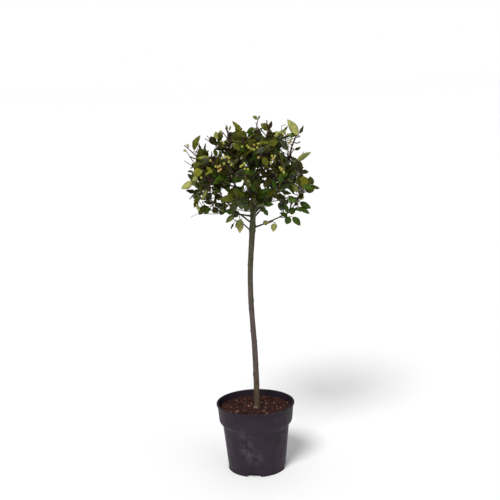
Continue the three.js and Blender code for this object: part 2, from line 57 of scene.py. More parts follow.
# The pot and its compost. Edges that turn by more than CRISP_FROM degrees stay crisp.
POT_HEIGHT = 192
POT_SIDES = 160
CRISP_FROM = 32
WALL = 2
LIP = {"radius": 110, "height": 5, "stand": 3}
COLLAR = {"height": 48, "foot_radius": 103.5}
STEP = {"drop": 15, "radius": 93.5}
FOOT = {"radius": 80.6, "height": 5, "stand": 1.2}
NOTCH = {"count": 4, "heading": -97, "width": 40, "top_width": 31, "height": 9.8, "reach": 38}
DRAIN_RADIUS = 6
COMPOST = {
    "level": 174, "edge_drop": 3, "reach": 100, "back_rise": 4.5, "back_reach": 95, "lumps": 1.2,
    "lump_size": 14, "sunk": 1.5, "sides": 120,
}

# The trunk: its sizes, the swings of its middle line, and the knots in its bark.
TRUNK = {"top": 784, "foot_radius": 8.1, "top_radius": 6.8, "flare": 3.2, "flare_height": 9}
TRUNK_START = COMPOST["level"] - 2
TRUNK_LINE = {"foot": 4.5, "bow": 9, "lean": 10, "sway": 3}
KNOTS = {"count": 26, "height": 0.8, "vary": 1.1, "size": 3.5}

# The swelling of the bark under the fork: how much, and its middle and reach as trunk shares. The
# trunk's top is rounded off over its last stretch, down to a share of its width.
FORK_SWELL = {"grow": 1.0, "at": 0.82, "reach": 0.1}
TRUNK_TOP = {"rounded": 14, "narrow": 0.62}

# Where a bough leaves the trunk: the collar on the trunk, the bough's own swollen foot and knots.
BOUGH_COLLAR = {"above": 5, "height": 1.6, "size": 7}
BOUGH_FOOT = {"grow": 1.3, "from": 5, "over": 6}
BOUGH_KNOTS = {"count": 5, "from": 0.2, "spread": 0.75, "height": 0.6, "size": 2.5}

# Ridges and fine wrinkles of bark: how often round a limb, how long along it, and how deep.
BARK_GRAIN = [(1.7, 42, 0.9), (6, 7, 0.45)]
BARK_DEPTH = {"trunk": 0.55, "bough": 0.22}

# The crown's surface: its middle, its radius, and how far it rises and drops from there.
CROWN = {"x": 5, "z": 832, "radius": 195, "rise": 136, "drop": 118, "squareness": 2.8}
CROWN_MIDDLE = np.array([CROWN["x"], 0.0, CROWN["z"]])

# Masses of foliage in three tiers, each tier with its radius and the radii of its boughs: each
# mass's heading and height, and how high its bough leaves the trunk. The low shoot hangs below them.
TIERS = [
    {
        "name": "lower", "radius": 114, "bough": (2.5, 2),
        "masses": [(-12, 738, 690), (60, 766, 716), (132, 758, 702), (204, 752, 722), (276, 764, 708)],
    },
    {
        "name": "middle", "radius": 118, "bough": (4, 2.3),
        "masses": [(24, 846, 730), (96, 850, 750), (168, 842, 738), (240, 848, 750), (312, 844, 740)],
    },
    {
        "name": "top", "radius": 66, "bough": (4.4, 2.6),
        "masses": [(12, 920, TRUNK["top"]), (132, 916, 766), (276, 914, 763)],
    },
]
LOW_SHOOT = {"heading": 188, "radius": 32, "height": 712, "fork": 680, "stem": (1.9, 1.7), "entry": 0.5}
STEM_TIP_RADIUS = 1.35

# Where a bough's bend lies, as shares of its run outwards and of its rise.
BOUGH_BEND = {"side": (0.42, 0.3), "leader": (0.25, 0.55)}

# Where each run of random numbers starts. Every mass adds its own number to the seed of masses.
SEEDS = {
    "masses": 42, "tips": 7, "finer": 501, "back_fruit": 19, "trunk": 61, "boughs": 62, "chips": 90,
}

# Shoots: how many tips are spread through the crown, how far out each one lies as a share, the
# radii, and how far down they go.
SHOOTS = {"count": 112, "reach": (0.58, 0.86), "radius": (1.5, 0.85), "lowest": -0.8}

# Sprigs that reach past the other shoots: tip as heading, distance from the axis and height; most
# leaves; their length; the way they point; and what the sprig is: full, bare but for the leaves
# that EDGE_LEAVES lists, or a cut stub.
SPRIGS = [
    ((330, 22, 972), 2, (22, 28), (-1, 0, 0.5), "bare"), ((12, 60, 952), 2, (26, 32), (0.2, 0, 1), "stub"),
    ((255, 34, 936), 1, (38, 44), (-0.7, -0.1, 0.9), "bare"),
    ((184, 60, 938), 2, (24, 32), (0, 0, 1), "stub"), ((176, 108, 930), 1, (24, 32), (-1, 0, 0.4), "stub"),
    ((184, 143, 903), 1, (40, 46), (0.3, 0, 1), "bare"), ((194, 174, 908), 0, (24, 32), (0, 0, 1), "bare"),
    ((176, 156, 862), 1, (30, 36), (-1, 0, 0.4), "bare"),
    ((190, 160, 828), 2, (34, 40), (-1, 0, -0.5), "bare"),
    ((178, 150, 798), 2, (34, 40), (-1, 0, 0), "bare"),
    ((196, 132, 752), 3, (36, 42), (-1, 0, -0.3), "bare"),
    ((186, 58, 720), 2, (34, 40), (-0.4, 0, -1), "bare"),
    ((200, 34, 716), 2, (36, 42), (-0.2, 0, -1), "bare"),
    ((345, 126, 938), 2, (48, 54), (-0.3, 0, 1), "bare"),
    ((356, 134, 934), 1, (36, 42), (0.7, 0, 1), "bare"),
    ((352, 132, 868), 2, (48, 54), (1, 0, 0.5), "bare"), ((3, 158, 802), 3, (36, 44), (1, 0, 0), "bare"),
    ((350, 134, 766), 1, (36, 42), (1, 0, -0.5), "bare"),
    ((344, 130, 750), 2, (36, 42), (1, 0, -0.6), "bare"),
    ((338, 108, 722), 3, (36, 44), (0.8, 0, -1), "bare"),
    ((330, 62, 710), 1, (28, 34), (0, 0, -1), "bare"), ((60, 100, 948), 2, (34, 44), (0.2, 0.2, 1), "full"),
    ((118, 120, 940), 2, (34, 44), (0, 0.4, 1), "full"), ((262, 110, 946), 2, (34, 44), (0, -0.4, 1), "full"),
]

# How far out a sprig's leaves may reach in terms of the crown's surface, the way they face, and the
# radii of a stub.
SPRIG_LIMIT = 1.4
SPRIG_FACE = (0, -1, 0.3)
STUB_RADII = (2.4, 2.0)

# The room that one leaf takes as the crown is laid out.
LEAF = {
    "length": (46, 60), "width": 0.6, "thickness": 1.1, "stalk": 0.6, "fold": 0.32, "droop": 0.1,
    "widest": 0.46, "apart": 9, "spacing": 14, "first": 0.3, "most": 5, "tries": 12, "lowest": 0.2,
}

# How a leaf stands: outwards from its shoot, less so at the tip, forwards and upwards; how deep its
# root sits; how far it sways round the shoot and rolls. Further tries sway less, point further
# forwards and are shorter.
STANCE = {"out": 0.85, "tip_out": 0.25, "forward": 0.5, "up": 0.3, "sunk": 0.5, "sway": 1.2, "roll": 1.1}
RETRY = {"steadier": 0.3, "forward": 0.05, "shorter": 0.04}

# How far foliage keeps off limbs, how far round a mass limbs are looked for, and the clusters of
# berries on the solids' shoots.
LIMB_CLEARANCE = 2.5
LIMB_REACH = 170
BERRY = {"radius": 4.4, "per_cluster": 3, "share": 0.24, "along": 0.5}

# Finer growth: leaves are smaller than the room laid out for them, the more so at the crown's top,
# and side twigs fill in.
LEAF_SCALE = {"heights": (900, 960), "shares": (0.86, 0.6708)}
SIDE_TWIG = {
    "spacing": 15, "length": (20, 46), "radius": (0.95, 0.6), "tries": 5, "reach": 0.9, "clear": 2,
    "bearing": 0.72, "from": 0.22, "over": 0.7, "forward": 0.5, "outward": 0.35, "up": 0.15,
    "turn": 1.3, "shorter": 0.12, "bow": 0.07,
}
SIDE_LEAF = {
    "length": (30, 44), "spacing": 10, "first": 0.2, "most": 4, "apart": 6.5, "reach": 60, "tries": 4,
    "lowest": 0.15, "out": 0.95, "tip_out": 0.3, "forward": 0.6, "up": 0.2, "sunk": 0.4, "turn": 1.7,
    "sway": 0.8, "shorter": 0.05,
}

# How upper sides face: up as well as outwards, and how far most roll from that, and some.
FACING = {"up": 0.4, "roll": 1.1, "some": 0.3, "their_roll": 3.2}

# The bend of a shoot and how much of it sags, as shares; and the swelling at a twig's nodes.
SHOOT_BOW = {"reach": 0.05, "sag": 0.4}
NODE_SWELL = 0.13

# Radii from foot to tip: of a leaf's stalk, of the twiglet that bears a leaf at the crown's edge,
# and of a fruiting spur.
LEAF_STALK = (0.75, 0.5)
EDGE_STALK = (1.1, 0.8)
SPUR_RADII = (1.0, 0.75)

# Buds: how deep one sits in the tip of its twig, its length, and its radius.
SHOOT_BUD = (0.5, 4.5, 1.3)
SIDE_BUD = (0.3, 3.4, 0.95)
BUD_SHAPE = {"shares": (0, 0.25, 0.55, 0.8, 1), "widths": (0.7, 1, 0.8, 0.4, 0.05)}

# The camera: its place, its pitch and roll in degrees, its lens and the width of its film.
CAMERA = {"place": (-2.5, -2600, 1121), "pitch": -10.73, "roll": -1.71, "lens": 69.48, "film": 36}

# Gaps through the crown: where each crosses the plane of the trunk, and its half sizes.
WINDOWS = np.array([
    (182, 872, 42, 62), (-184, 882, 34, 30), (67, 742, 14, 21), (45, 714, 30, 15), (-15, 995, 80, 30),
    (-70, 973, 34, 22), (160, 775, 13, 9), (-151, 893, 7, 8), (-11, 726, 12, 13), (-100, 907, 6, 9),
    (122, 778, 11, 3), (-27, 813, 9, 2), (-2, 778, 4, 3), (-157, 801, 9, 4), (122, 921, 9, 7),
    (141, 907, 14, 14), (100, 899, 8, 6), (47, 948, 5, 6), (-62, 939, 4, 8), (-65, 785, 5, 3),
    (-98, 776, 4, 7), (103, 744, 5, 6), (-177, 821, 8, 6), (100, 783, 11, 4), (-6, 964, 15, 8),
    (73, 961, 11, 7), (128, 890, 11, 8), (145, 895, 8, 4), (-2, 780, 9, 4), (-102, 745, 13, 4),
    (-41, 809, 6, 4), (-68, 786, 8, 3), (-119, 730, 21, 4), (-181, 849, 6, 5),
], float)

# Leaves that stand out at the crown's edge, by tint: foot and tip as across and up, the depth they
# lie at, their width, and their turn about their own line from facing the front.
EDGE_LEAVES = {
    "fresh": [
        (29, 982, 15, 993, -11, 10, 20), (30, 985, 33, 994, -11, 6, 40), (96, 862, 80, 903, -60, 13, 35),
        (-14, 945, -40, 982, -20, 13, -40), (-38, 948, -12, 961, -15, 12, 30),
        (-53, 956, -56, 974, -30, 5, 20), (-49, 956, -43, 971, -30, 5, 20),
        (-117, 865, -143, 850, -123, 22, 0), (-98, 898, -131, 896, -127, 10, 20),
        (-91, 866, -112, 854, -145, 10, 20),
    ],
    "olive": [
        (60, 950, 37, 972, 12, 20, 10), (58, 954, 66, 978, 12, 13, 30), (-25, 948, -23, 972, -15, 17, 0),
        (-72, 930, -74, 954, 6, 16, 20), (-146, 902, -129, 947, -10, 19, -30),
        (-98, 763, -124, 772, -40, 13, 10), (-18, 806, -38, 792, -30, 18, 20),
        (-98, 757, -86, 738, -36, 18, 10), (-126, 782, -151, 771, -24, 13, 10),
        (-125, 884, -143, 869, -109, 18, 10), (-20, 915, -40, 934, -149, 16, 10),
        (51, 924, 77, 934, -133, 18, 10), (35, 895, 49, 874, -162, 18, -10),
    ],
    "pale": [
        (136, 935, 106, 983, -33, 23, 180), (67, 939, 84, 951, -33, 17, 180),
        (-80, 930, -86, 954, 0, 17, 180), (134, 766, 149, 773, -10, 9, 180),
        (-113, 808, -120, 780, -60, 14, 180), (-131, 743, -142, 768, -40, 9, 180),
        (34, 703, 47, 713, -31, 14, 180), (68, 708, 62, 682, -31, 17, 180),
        (-150, 827, -182, 806, -28, 20, 180), (-22, 718, -29, 678, -12, 19, 160),
        (-131, 848, -147, 836, -110, 13, 180),
    ],
    "green": [
        (89, 947, 108, 967, -33, 7, 20), (131, 940, 99, 939, -30, 13, 10), (-2, 946, 14, 966, -33, 14, 30),
        (100, 764, 72, 788, -40, 12, 20), (133, 762, 166, 742, -23, 17, 10),
        (133, 746, 161, 728, -30, 12, 20), (92, 767, 82, 739, -30, 21, 0),
        (117, 750, 111, 727, -30, 19, 10), (103, 722, 79, 735, -40, 16, 20),
        (106, 726, 97, 703, -40, 19, 0), (112, 725, 135, 698, -40, 17, 10), (40, 746, 48, 726, -30, 14, 20),
        (34, 760, 65, 757, -34, 14, 20), (30, 755, 42, 736, -30, 17, 10), (-8, 800, -2, 774, -34, 18, 20),
        (-104, 755, -122, 737, -40, 17, 20), (-80, 752, -60, 742, -40, 16, 20),
        (-62, 750, -43, 737, -44, 16, 20), (-2, 770, -12, 738, -34, 20, 20), (8, 780, 22, 752, -40, 21, 10),
        (14, 768, 3, 734, -36, 19, -20), (12, 800, 30, 778, -44, 19, 20), (22, 766, 38, 750, -36, 17, 20),
        (3, 854, -11, 872, -174, 16, 10), (92, 761, 101, 732, -36, 13, 10),
    ],
    "dark": [
        (135, 876, 145, 847, -25, 9, 30), (136, 941, 149, 965, -20, 12, 40),
        (122, 901, 141, 908, -25, 10, 50), (-134, 912, -112, 886, -10, 24, 20),
        (-141, 897, -118, 878, -14, 18, 0), (141, 843, 162, 838, -10, 12, 30),
        (148, 782, 131, 767, -10, 13, 20), (-126, 802, -141, 771, -50, 10, 20),
        (-78, 792, -93, 775, -50, 12, 10), (-118, 756, -133, 740, -40, 14, 0),
        (-81, 894, -88, 916, -100, 12, 10), (165, 799, 168, 825, 8, 22, 10),
        (152, 781, 180, 800, 8, 20, 10), (173, 800, 192, 791, 8, 9, 30),
        (-139, 792, -171, 799, -10, 12, 20), (-134, 789, -143, 760, -10, 13, 30),
        (-124, 760, -137, 735, -36, 17, 10), (-43, 708, -53, 689, -12, 7, 40),
        (-110, 757, -136, 744, -30, 16, 10), (-70, 750, -79, 732, -30, 17, 0),
        (-136, 774, -149, 754, -30, 14, 20), (2, 792, -14, 770, -40, 18, 20),
        (-146, 849, -164, 853, -28, 9, 20), (85, 796, 113, 785, -40, 12, 20),
    ],
    "glossy": [
        (106, 900, 82, 931, -50, 17, 0), (-101, 800, -113, 774, -60, 17, 0),
        (-31, 741, -49, 724, -16, 22, 0), (20, 907, 43, 922, -157, 17, 28),
        (-98, 893, -121, 888, -129, 14, -28),
    ],
    "under": [
        (121, 867, 166, 897, -60, 15, 225), (-40, 731, -66, 708, -16, 14, 180),
        (-24, 718, -40, 694, -16, 17, 200), (-109, 812, -122, 787, -120, 10, 180),
    ],
    "light": [
        (143, 838, 148, 797, -60, 27, 0), (-96, 887, -127, 879, -120, 10, 20),
        (-109, 875, -92, 856, -125, 9, 20),
    ],
}

# Twigs that stand out there: knee and tip as across and up, depth, and radii.
EDGE_TWIGS = [
    ((-46, 926), (-57, 966), -30, (2.4, 2.1)), ((-48, 930), (-67, 955), -30, (1.5, 1.2)),
    ((-82, 913), (-115, 936), 8, (1.4, 1.1)), ((-93, 921), (-109, 943), 8, (1.2, 0.9)),
    ((24, 956), (31, 990), -11, (1.4, 1.1)), ((53, 932), (65, 972), 12, (2.7, 2.3)),
    ((50, 938), (36, 957), 12, (1.5, 1.2)), ((55, 958), (53, 980), 12, (1.6, 1.4)),
    ((113, 888), (130, 940), -33, (2.8, 1.9)), ((129, 919), (139, 923), -33, (1.3, 1.6)),
    ((120, 900), (98, 874), -33, (1.3, 1.1)), ((105, 876), (125, 866), -25, (1.4, 1.1)),
    ((-135, 889), (-168, 923), -42, (1.8, 1.2)), ((-145, 861), (-172, 879), -5, (1.1, 0.8)),
    ((-126, 803), (-144, 829), -28, (1.4, 1.1)), ((138, 776), (163, 800), 8, (1.4, 1.1)),
    ((-84, 736), (-130, 738), -30, (1.1, 0.7)), ((-130, 742), (-160, 728), -30, (0.8, 0.5)),
    ((90, 960), (104, 968), -33, (0.9, 0.6)), ((6, 775), (14, 752), -34, (1.2, 0.8)),
    ((115, 787), (145, 791), -20, (1.3, 0.9)),
]

# Fruiting spurs: where the middle of each one's berries is, and how many there are.
FRUIT = [
    ((-53, -156, 891), 8), ((-76, -151, 874), 5), ((-10, -171, 874), 5), ((13, -140, 925), 8),
    ((25, -164, 894), 1), ((61, -157, 891), 5), ((80, -157, 862), 5), ((97, -30, 946), 6),
    ((111, -70, 930), 1), ((-66, -100, 932), 2), ((-68, -12, 950), 1), ((-118, -122, 845), 1),
    ((-93, -136, 888), 1), ((-14, -145, 920), 1), ((-154, -42, 920), 1), ((-162, -42, 907), 1),
]
BACK_FRUIT = {"count": 16, "from": 10, "to": 158, "share": 0.88, "height": (800, 930)}
FRUIT_RADIUS = (3.1, 3.7)
LOWEST_FRUIT = 805
SPUR_REACH = 75

# A cluster: its spread for no berry and for each, how deep it is for its width, how far its
# berries keep apart, how short a stalk may be, how short it is green, the radii of a brown stalk
# and a green one where they leave the twig and where they end, and the share of blushed berries.
CLUSTER = {
    "spread": 3.5, "per_berry": 1.6, "depth": 0.8, "apart": 7.4, "tries": 14, "shortest": 5,
    "stalk": 6, "green_stalk": 9, "radii": (0.6, 0.42), "end_radius": 0.4, "blush": 0.3,
}

# ---------------------------------------------------------------- numbers, vectors and paths


def seeded_random(seed):
    """Even random numbers from 0 to 1, the same ones for the same seed."""
    state = seed

    def draw():
        nonlocal state
        state = (state * 1664525 + 1013904223) % 2**32
        return state / 2**32

    return draw


def own_random(draw):
    """Random numbers of their own for a shoot, twig or leaf, begun by a draw."""
    return seeded_random(int(draw() * 1e9) + 7)


def mix(a, b, share):
    """The value that lies a share of the way from a to b."""
    return a + (b - a) * share


def vector(x, y, z):
    return np.array([x, y, z], float)


UP = vector(0, 0, 1)


def unit(v):
    """A vector, or each row of several, made one long."""
    v = np.asarray(v, float)
    return v / np.linalg.norm(v, axis=-1, keepdims=True)


def distance(first, second):
    """How far apart points lie, row by row."""
    return np.linalg.norm(np.asarray(first) - second, axis=-1)


def across(v, axis):
    """The part of a vector at right angles to a unit axis, as a unit vector."""
    return unit(v - axis * np.dot(v, axis))


def spoke(axis, angle):
    """The unit vector at an angle round a unit axis, counted from its upper side."""
    side = across(UP, axis)
    return side * math.cos(angle) + np.cross(axis, side) * math.sin(angle)


def turned_about(v, axis, angle):
    """A vector turned about a unit axis."""
    turned = v * math.cos(angle) + np.cross(axis, v) * math.sin(angle)
    return turned + axis * np.dot(axis, v) * (1 - math.cos(angle))


def around(direction, radius, height, middle=CROWN["x"]):
    """A point at a heading and distance from an upright axis. Heading 0 is +X and 90 is +Y."""
    angle = math.radians(direction)
    return vector(middle + radius * math.cos(angle), radius * math.sin(angle), height)


def column(share):
    """Shares as a column, so that each one scales a point."""
    return np.asarray(share, float)[..., None]


def bend(start, middle, end):
    """A quadratic Bezier curve as a function from 0..1 to a point."""

    def path(share):
        s = column(share)
        return start * (1 - s) ** 2 + middle * 2 * s * (1 - s) + end * s**2

    return path


def straight(start, end):
    return lambda share: start + (end - start) * column(share)


def bowed(start, end, sag):
    """A line from start to end whose middle is pushed sideways by a vector."""
    line = straight(start, end)
    return lambda share: line(share) + sag * np.sin(math.pi * column(share))


def stretch(path, first, last):
    """The stretch of a path between two shares of it."""
    return lambda share: path(mix(first, last, np.asarray(share, float)))


def heading(path, share, step=1e-3):
    """The unit direction of a path at a share of it."""
    return unit(path(min(1, share + step)) - path(max(0, share - step)))


def length_of(path):
    """How far apart the ends of a path are."""
    return float(distance(path(1), path(0)))


def chords_of(path):
    """A path as three straight chords."""
    points = path(np.linspace(0, 1, 4))
    return np.stack([points[:-1], points[1:]], axis=1)


def trunk_line(share):
    """The trunk's middle line: upright at the foot, bowed in the middle, leaning at the fork."""
    s = np.asarray(share, float)
    bow = np.sin(np.pi * s**1.25) ** 3
    x = TRUNK_LINE["foot"] - TRUNK_LINE["bow"] * bow + TRUNK_LINE["lean"] * s**7
    y = TRUNK_LINE["sway"] * np.sin(TURN * s)
    return np.stack([x, y, mix(TRUNK_START, TRUNK["top"], s)], axis=-1)


def trunk_share(height):
    """The share of the trunk's line at a height."""
    return (height - TRUNK_START) / (TRUNK["top"] - TRUNK_START)


def trunk_radius(share):
    """The trunk's taper, with the flare of its root."""
    height = share * (TRUNK["top"] - TRUNK_START)
    flare = TRUNK["flare"] * np.exp(-height / TRUNK["flare_height"])
    return mix(TRUNK["foot_radius"], TRUNK["top_radius"], share) + flare


# ---------------------------------------------------------------- pieces


def new_object(name, data):
    """An object in the scene, of a mesh, a lamp or a camera."""
    thing = bpy.data.objects.new(name, data)
    bpy.context.scene.collection.objects.link(thing)
    return thing


def new_solid(name, points, faces):
    """A mesh object in the scene, from points in millimetres."""
    mesh = bpy.data.meshes.new(name)
    mesh.from_pydata(points * MM, [], faces)
    return new_object(name, mesh)


def attach(piece, slot, replaces):
    """Sets a piece on the plant's one body and hides the nodes it stands for. Its slot is not used."""
    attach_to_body(piece, "root")
    if replaces:
        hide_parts(*replaces)


class Piece:
    """Vertices and faces gathered for one joined mesh, each face with the number of its look."""

    def __init__(self, name, slot, looks, replaces=()):
        self.name = name
        self.slot = slot
        self.looks = looks
        self.replaces = replaces
        self.points = []
        self.faces = []
        self.face_looks = []
        self.count = 0

    def add(self, points, faces, looks=0):
        """Takes in some points, faces as rows of indices, and one look or one for each face."""
        self.faces += [[index + self.count for index in face] for face in faces]
        self.face_looks += looks if isinstance(looks, list) else [looks] * len(faces)
        self.points.append(points)
        self.count += len(points)

    def build(self, smooth=True):
        thing = new_solid(self.name, np.concatenate(self.points), self.faces)
        for look in self.looks:
            thing.data.materials.append(look)
        thing.data.polygons.foreach_set("material_index", np.array(self.face_looks, np.int32))
        thing.data.polygons.foreach_set("use_smooth", np.full(len(self.faces), smooth))
        thing.data.update()
        attach(thing, self.slot, self.replaces)


def ring_faces(sides, rows):
    """The faces of a tube of rings, counted against the clock, closed by flat ends."""
    faces = []
    for low in range(0, (rows - 1) * sides, sides):
        for j in range(sides):
            k = (j + 1) % sides
            faces.append([low + j, low + k, low + sides + k, low + sides + j])
    last = (rows - 1) * sides
    return faces + [list(range(sides))[::-1], list(range(last, last + sides))]


def lathe(profile, sides):
    """Points and faces of a solid turned about +Z, from pairs of radius and height."""
    angles = np.arange(sides) * TURN / sides
    points = [(0, 0, profile[0][1])]
    for radius, height in profile[1:-1]:
        points += [(radius * math.cos(a), radius * math.sin(a), height) for a in angles]
    points.append((0, 0, profile[-1][1]))
    last = 1 + (len(profile) - 3) * sides
    faces = []
    for j in range(sides):
        k = (j + 1) % sides
        faces.append([0, 1 + k, 1 + j])
        for low in range(1, last, sides):
            faces.append([low + j, low + k, low + sides + k, low + sides + j])
        faces.append([last + j, last + k, len(points) - 1])
    return np.array(points, float), faces


def limb(path, radius_at, sides, steps, relief=None):
    """A tapering limb along a path. Relief adds to the radius at each point and angle."""
    shares = np.linspace(0, 1, steps + 1)
    line = path(shares)
    tangents = unit(np.gradient(line, axis=0))
    upright = abs(tangents[steps // 2][2]) > 0.9
    reference = vector(1, 0, 0) if upright else UP
    side = unit(reference - tangents * (tangents @ reference)[:, None])
    other = np.cross(tangents, side)
    angles = np.arange(sides) * TURN / sides
    radii = np.repeat(radius_at(shares)[:, None], sides, axis=1)
    if relief:
        radii = radii + relief(line, angles)
    spokes = side[:, None] * np.cos(angles)[:, None] + other[:, None] * np.sin(angles)[:, None]
    points = line[:, None] + radii[..., None] * spokes
    return points.reshape(-1, 3), ring_faces(sides, steps + 1)


# ---------------------------------------------------------------- materials


def colour(tone):
    """A linear colour from a hexadecimal code, from a grey, or as it is."""
    if isinstance(tone, str):
        values = [int(tone[i : i + 2], 16) / 255 for i in (0, 2, 4)]
        return tuple(v / 12.92 if v <= 0.04045 else ((v + 0.055) / 1.055) ** 2.4 for v in values)
    return tone if isinstance(tone, tuple) else (tone, tone, tone)


def new_node(tree, kind, inputs, output=0, **settings):
    """A node with its settings, and inputs that are values or sockets. Gives one of its outputs."""
    node = tree.nodes.new(f"ShaderNode{kind}")
    for key, value in settings.items():
        setattr(node, key, value)
    for socket, value in inputs.items():
        if isinstance(value, bpy.types.NodeSocket):
            tree.links.new(value, node.inputs[socket])
        else:
            node.inputs[socket].default_value = value
    return node.outputs[output]


class Look:
    """A material in the making: its nodes, and the base colour as it is laid down."""

    def __init__(self, name, roughness, **settings):
        self.material = bpy.data.materials.new(name)
        self.material.use_nodes = True
        self.tree = self.material.node_tree
        self.shader = self.tree.nodes["Principled BSDF"].inputs
        self.shader["Roughness"].default_value = roughness
        for key, value in settings.items():
            self.shader[key.replace("_", " ")].default_value = value

    def at(self, stretched=(1, 1, 1)):
        """Coordinates in metres on the object, stretched by a scale."""
        place = new_node(self.tree, "TexCoord", {}, "Object")
        return new_node(self.tree, "Mapping", {"Vector": place, "Scale": stretched})

    def noise(self, scale, detail, stretched=(1, 1, 1)):
        inputs = {"Vector": self.at(stretched), "Scale": scale, "Detail": detail, "Roughness": 0.55}
        return new_node(self.tree, "TexNoise", inputs, "Fac")

    def ramp(self, factor, *stops):
        """Tones laid along a factor. A stop is a position and a tone."""
        output = new_node(self.tree, "ValToRGB", {"Fac": factor}, "Color")
        elements = output.node.color_ramp.elements
        while len(elements) < len(stops):
            elements.new(0.5)
        for element, (position, tone) in zip(elements, stops):
            element.position = position
            element.color = (*colour(tone), 1)
        return output

    def near(self, middle, reach):
        """A factor that is 1 at a place and fades to 0 at a distance from it."""
        place = [v * MM for v in middle]
        apart = new_node(self.tree, "VectorMath", {0: self.at(), 1: place}, "Value", operation="DISTANCE")
        return new_node(self.tree, "MapRange", {"Value": apart, "From Min": reach * MM, "From Max": 0})

    def times(self, first, second):
        return new_node(self.tree, "Math", {0: first, 1: second}, operation="MULTIPLY")

    def lay(self, factor, tone):
        """Lays a tone over the base colour by a factor."""
        inputs = {0: factor, 6: self.base, 7: (*colour(tone), 1)}
        self.base = new_node(self.tree, "Mix", inputs, 2, data_type="RGBA")

    def finish(self, *bump):
        """The material with its base colour, and bump of a height, a distance and a strength."""
        self.tree.links.new(self.base, self.shader["Base Color"])
        if bump:
            inputs = dict(zip(("Height", "Distance", "Strength"), bump))
            self.tree.links.new(new_node(self.tree, "Bump", inputs, "Normal"), self.shader["Normal"])
        return self.material


def mottled(name, roughness, stops, grain, bump, **settings):
    """A material whose tones lie along one noise. Its bump is another's, with depth and strength."""
    look = Look(name, roughness, **settings)
    look.base = look.ramp(look.noise(*grain), *stops)
    *texture, depth, strength = bump
    return look.finish(look.noise(*texture), depth, strength)


def pot_plastic():
    """Dark moulded plastic with handling scuffs, dried splashes of soil and a dusty patch."""
    look = Look("pot_plastic", 0.5, Specular_IOR_Level=0.15)
    look.base = look.ramp(look.noise(14, 5), (0.3, "221a23"), (0.5, "291f2a"), (0.75, "302530"))
    look.lay(look.ramp(look.noise(60, 8), (0.6, 0), (0.78, 0.55)), "3a303a")
    look.lay(look.ramp(look.noise(170, 6, (1, 1, 0.12)), (0.58, 0), (0.8, 0.35)), "3c323d")
    for spot in ((-28, -86, 86), (-8, -84, 60), (-38, -92, 118)):
        patchy = look.ramp(look.noise(55, 7), (0.4, 0), (0.62, 0.9))
        look.lay(look.times(look.near(spot, 30), patchy), "4e4650")
    shine = look.ramp(look.noise(45, 6), (0.3, 0.45), (0.7, 0.65))
    look.tree.links.new(shine, look.shader["Roughness"])
    return look.finish(look.noise(900, 3), 0.0001, 0.5)


def soil():
    """Dark, damp compost."""
    stops = ((0.3, "120c0a"), (0.5, "231510"), (0.7, "3a2318"))
    return mottled("soil", 0.95, stops, (260, 8), (500, 6, 0.001, 0.8), Specular_IOR_Level=0.1)


def bark_chip(name, dark, light):
    """Shredded bark: fibres along the chip, darker where it is damp."""
    fibres, stops = (500, 6, (1, 0.35, 1)), ((0.3, dark), (0.7, light))
    return mottled(name, 0.85, stops, fibres, (*fibres, 0.0006, 0.8), Specular_IOR_Level=0.25)


# Washes of colour on the bark: the middle of each, its reach, its strength and its tone. They are
# mauve low down, brown at the foot and green under the crown, with a pale scar at the very foot.
# The green wash under the crown is partly the bark's own olive there and partly painted light: it
# lightens the bark where the crown's shade darkens it.
BARK_WASHES_AND_PAINTED_LIGHT = [
    ((-4, 0, 390), 170, 0.8, "564649"),
    ((-9, 0, 205), 120, 0.9, "5a483a"),
    # Green bark under the crown, lighter there as painted light against the crown's shade.
    ((6, 0, 690), 150, 0.5, "4f5738"),
    ((-5, -13, 172), 15, 1, "a98d80"),
]


def trunk_bark():
    """Grey-brown and olive bark, washed with other tones and painted light, fissured along its length and
    speckled.
    """
    look = Look("trunk_bark", 0.8, Specular_IOR_Level=0.25)
    tones = ((0.34, "261f17"), (0.45, "383d27"), (0.54, "554b40"), (0.66, "35271f"))
    look.base = look.ramp(look.noise(95, 4, (1, 1, 0.09)), *tones)
    for middle, reach, strength, tone in BARK_WASHES_AND_PAINTED_LIGHT:
        look.lay(look.times(look.near(middle, reach), strength), tone)
    fissures = look.noise(260, 8, (1, 1, 0.18))
    look.lay(look.ramp(fissures, (0.45, 0), (0.75, 0.7)), "1d1613")
    inputs = {"Vector": look.at((1, 1, 0.8)), "Scale": 190}
    pores = new_node(look.tree, "TexVoronoi", inputs, "Distance")
    look.lay(look.ramp(pores, (0.1, 0.6), (0.2, 0)), "76695a")
    return look.finish(fissures, 0.0008, 0.8)


def twig_bark(name, dark, light, roughness):
    """Smooth young bark in two tones."""
    stops = ((0.35, dark), (0.65, light))
    return mottled(name, roughness, stops, (160, 5), (700, 4, 0.0003, 0.5), Specular_IOR_Level=0.2)


def leaf_skin(name, tint, roughness, coat, mottle=0.28):
    """A waxy leaf: one tint, a little darker and lighter from place to place."""
    darker, lighter = (tuple(v * change for v in colour(tint)) for change in (1 - mottle, 1 + mottle))
    stops, wax = ((0.35, darker), (0.65, lighter)), {"Coat_Weight": coat, "Coat_Roughness": 0.16}
    return mottled(name, roughness, stops, (75, 5), (420, 4, 0.0004, 0.35), Specular_IOR_Level=0.05, **wax)


def berry_skin(name, tint, cheek):
    """A smooth, shiny berry with a second tint on its cheek."""
    look = Look(name, 0.24, Coat_Weight=0.6, Coat_Roughness=0.08)
    look.base = look.ramp(look.noise(210, 2), (0.42, tint), (0.68, cheek))
    return look.finish()


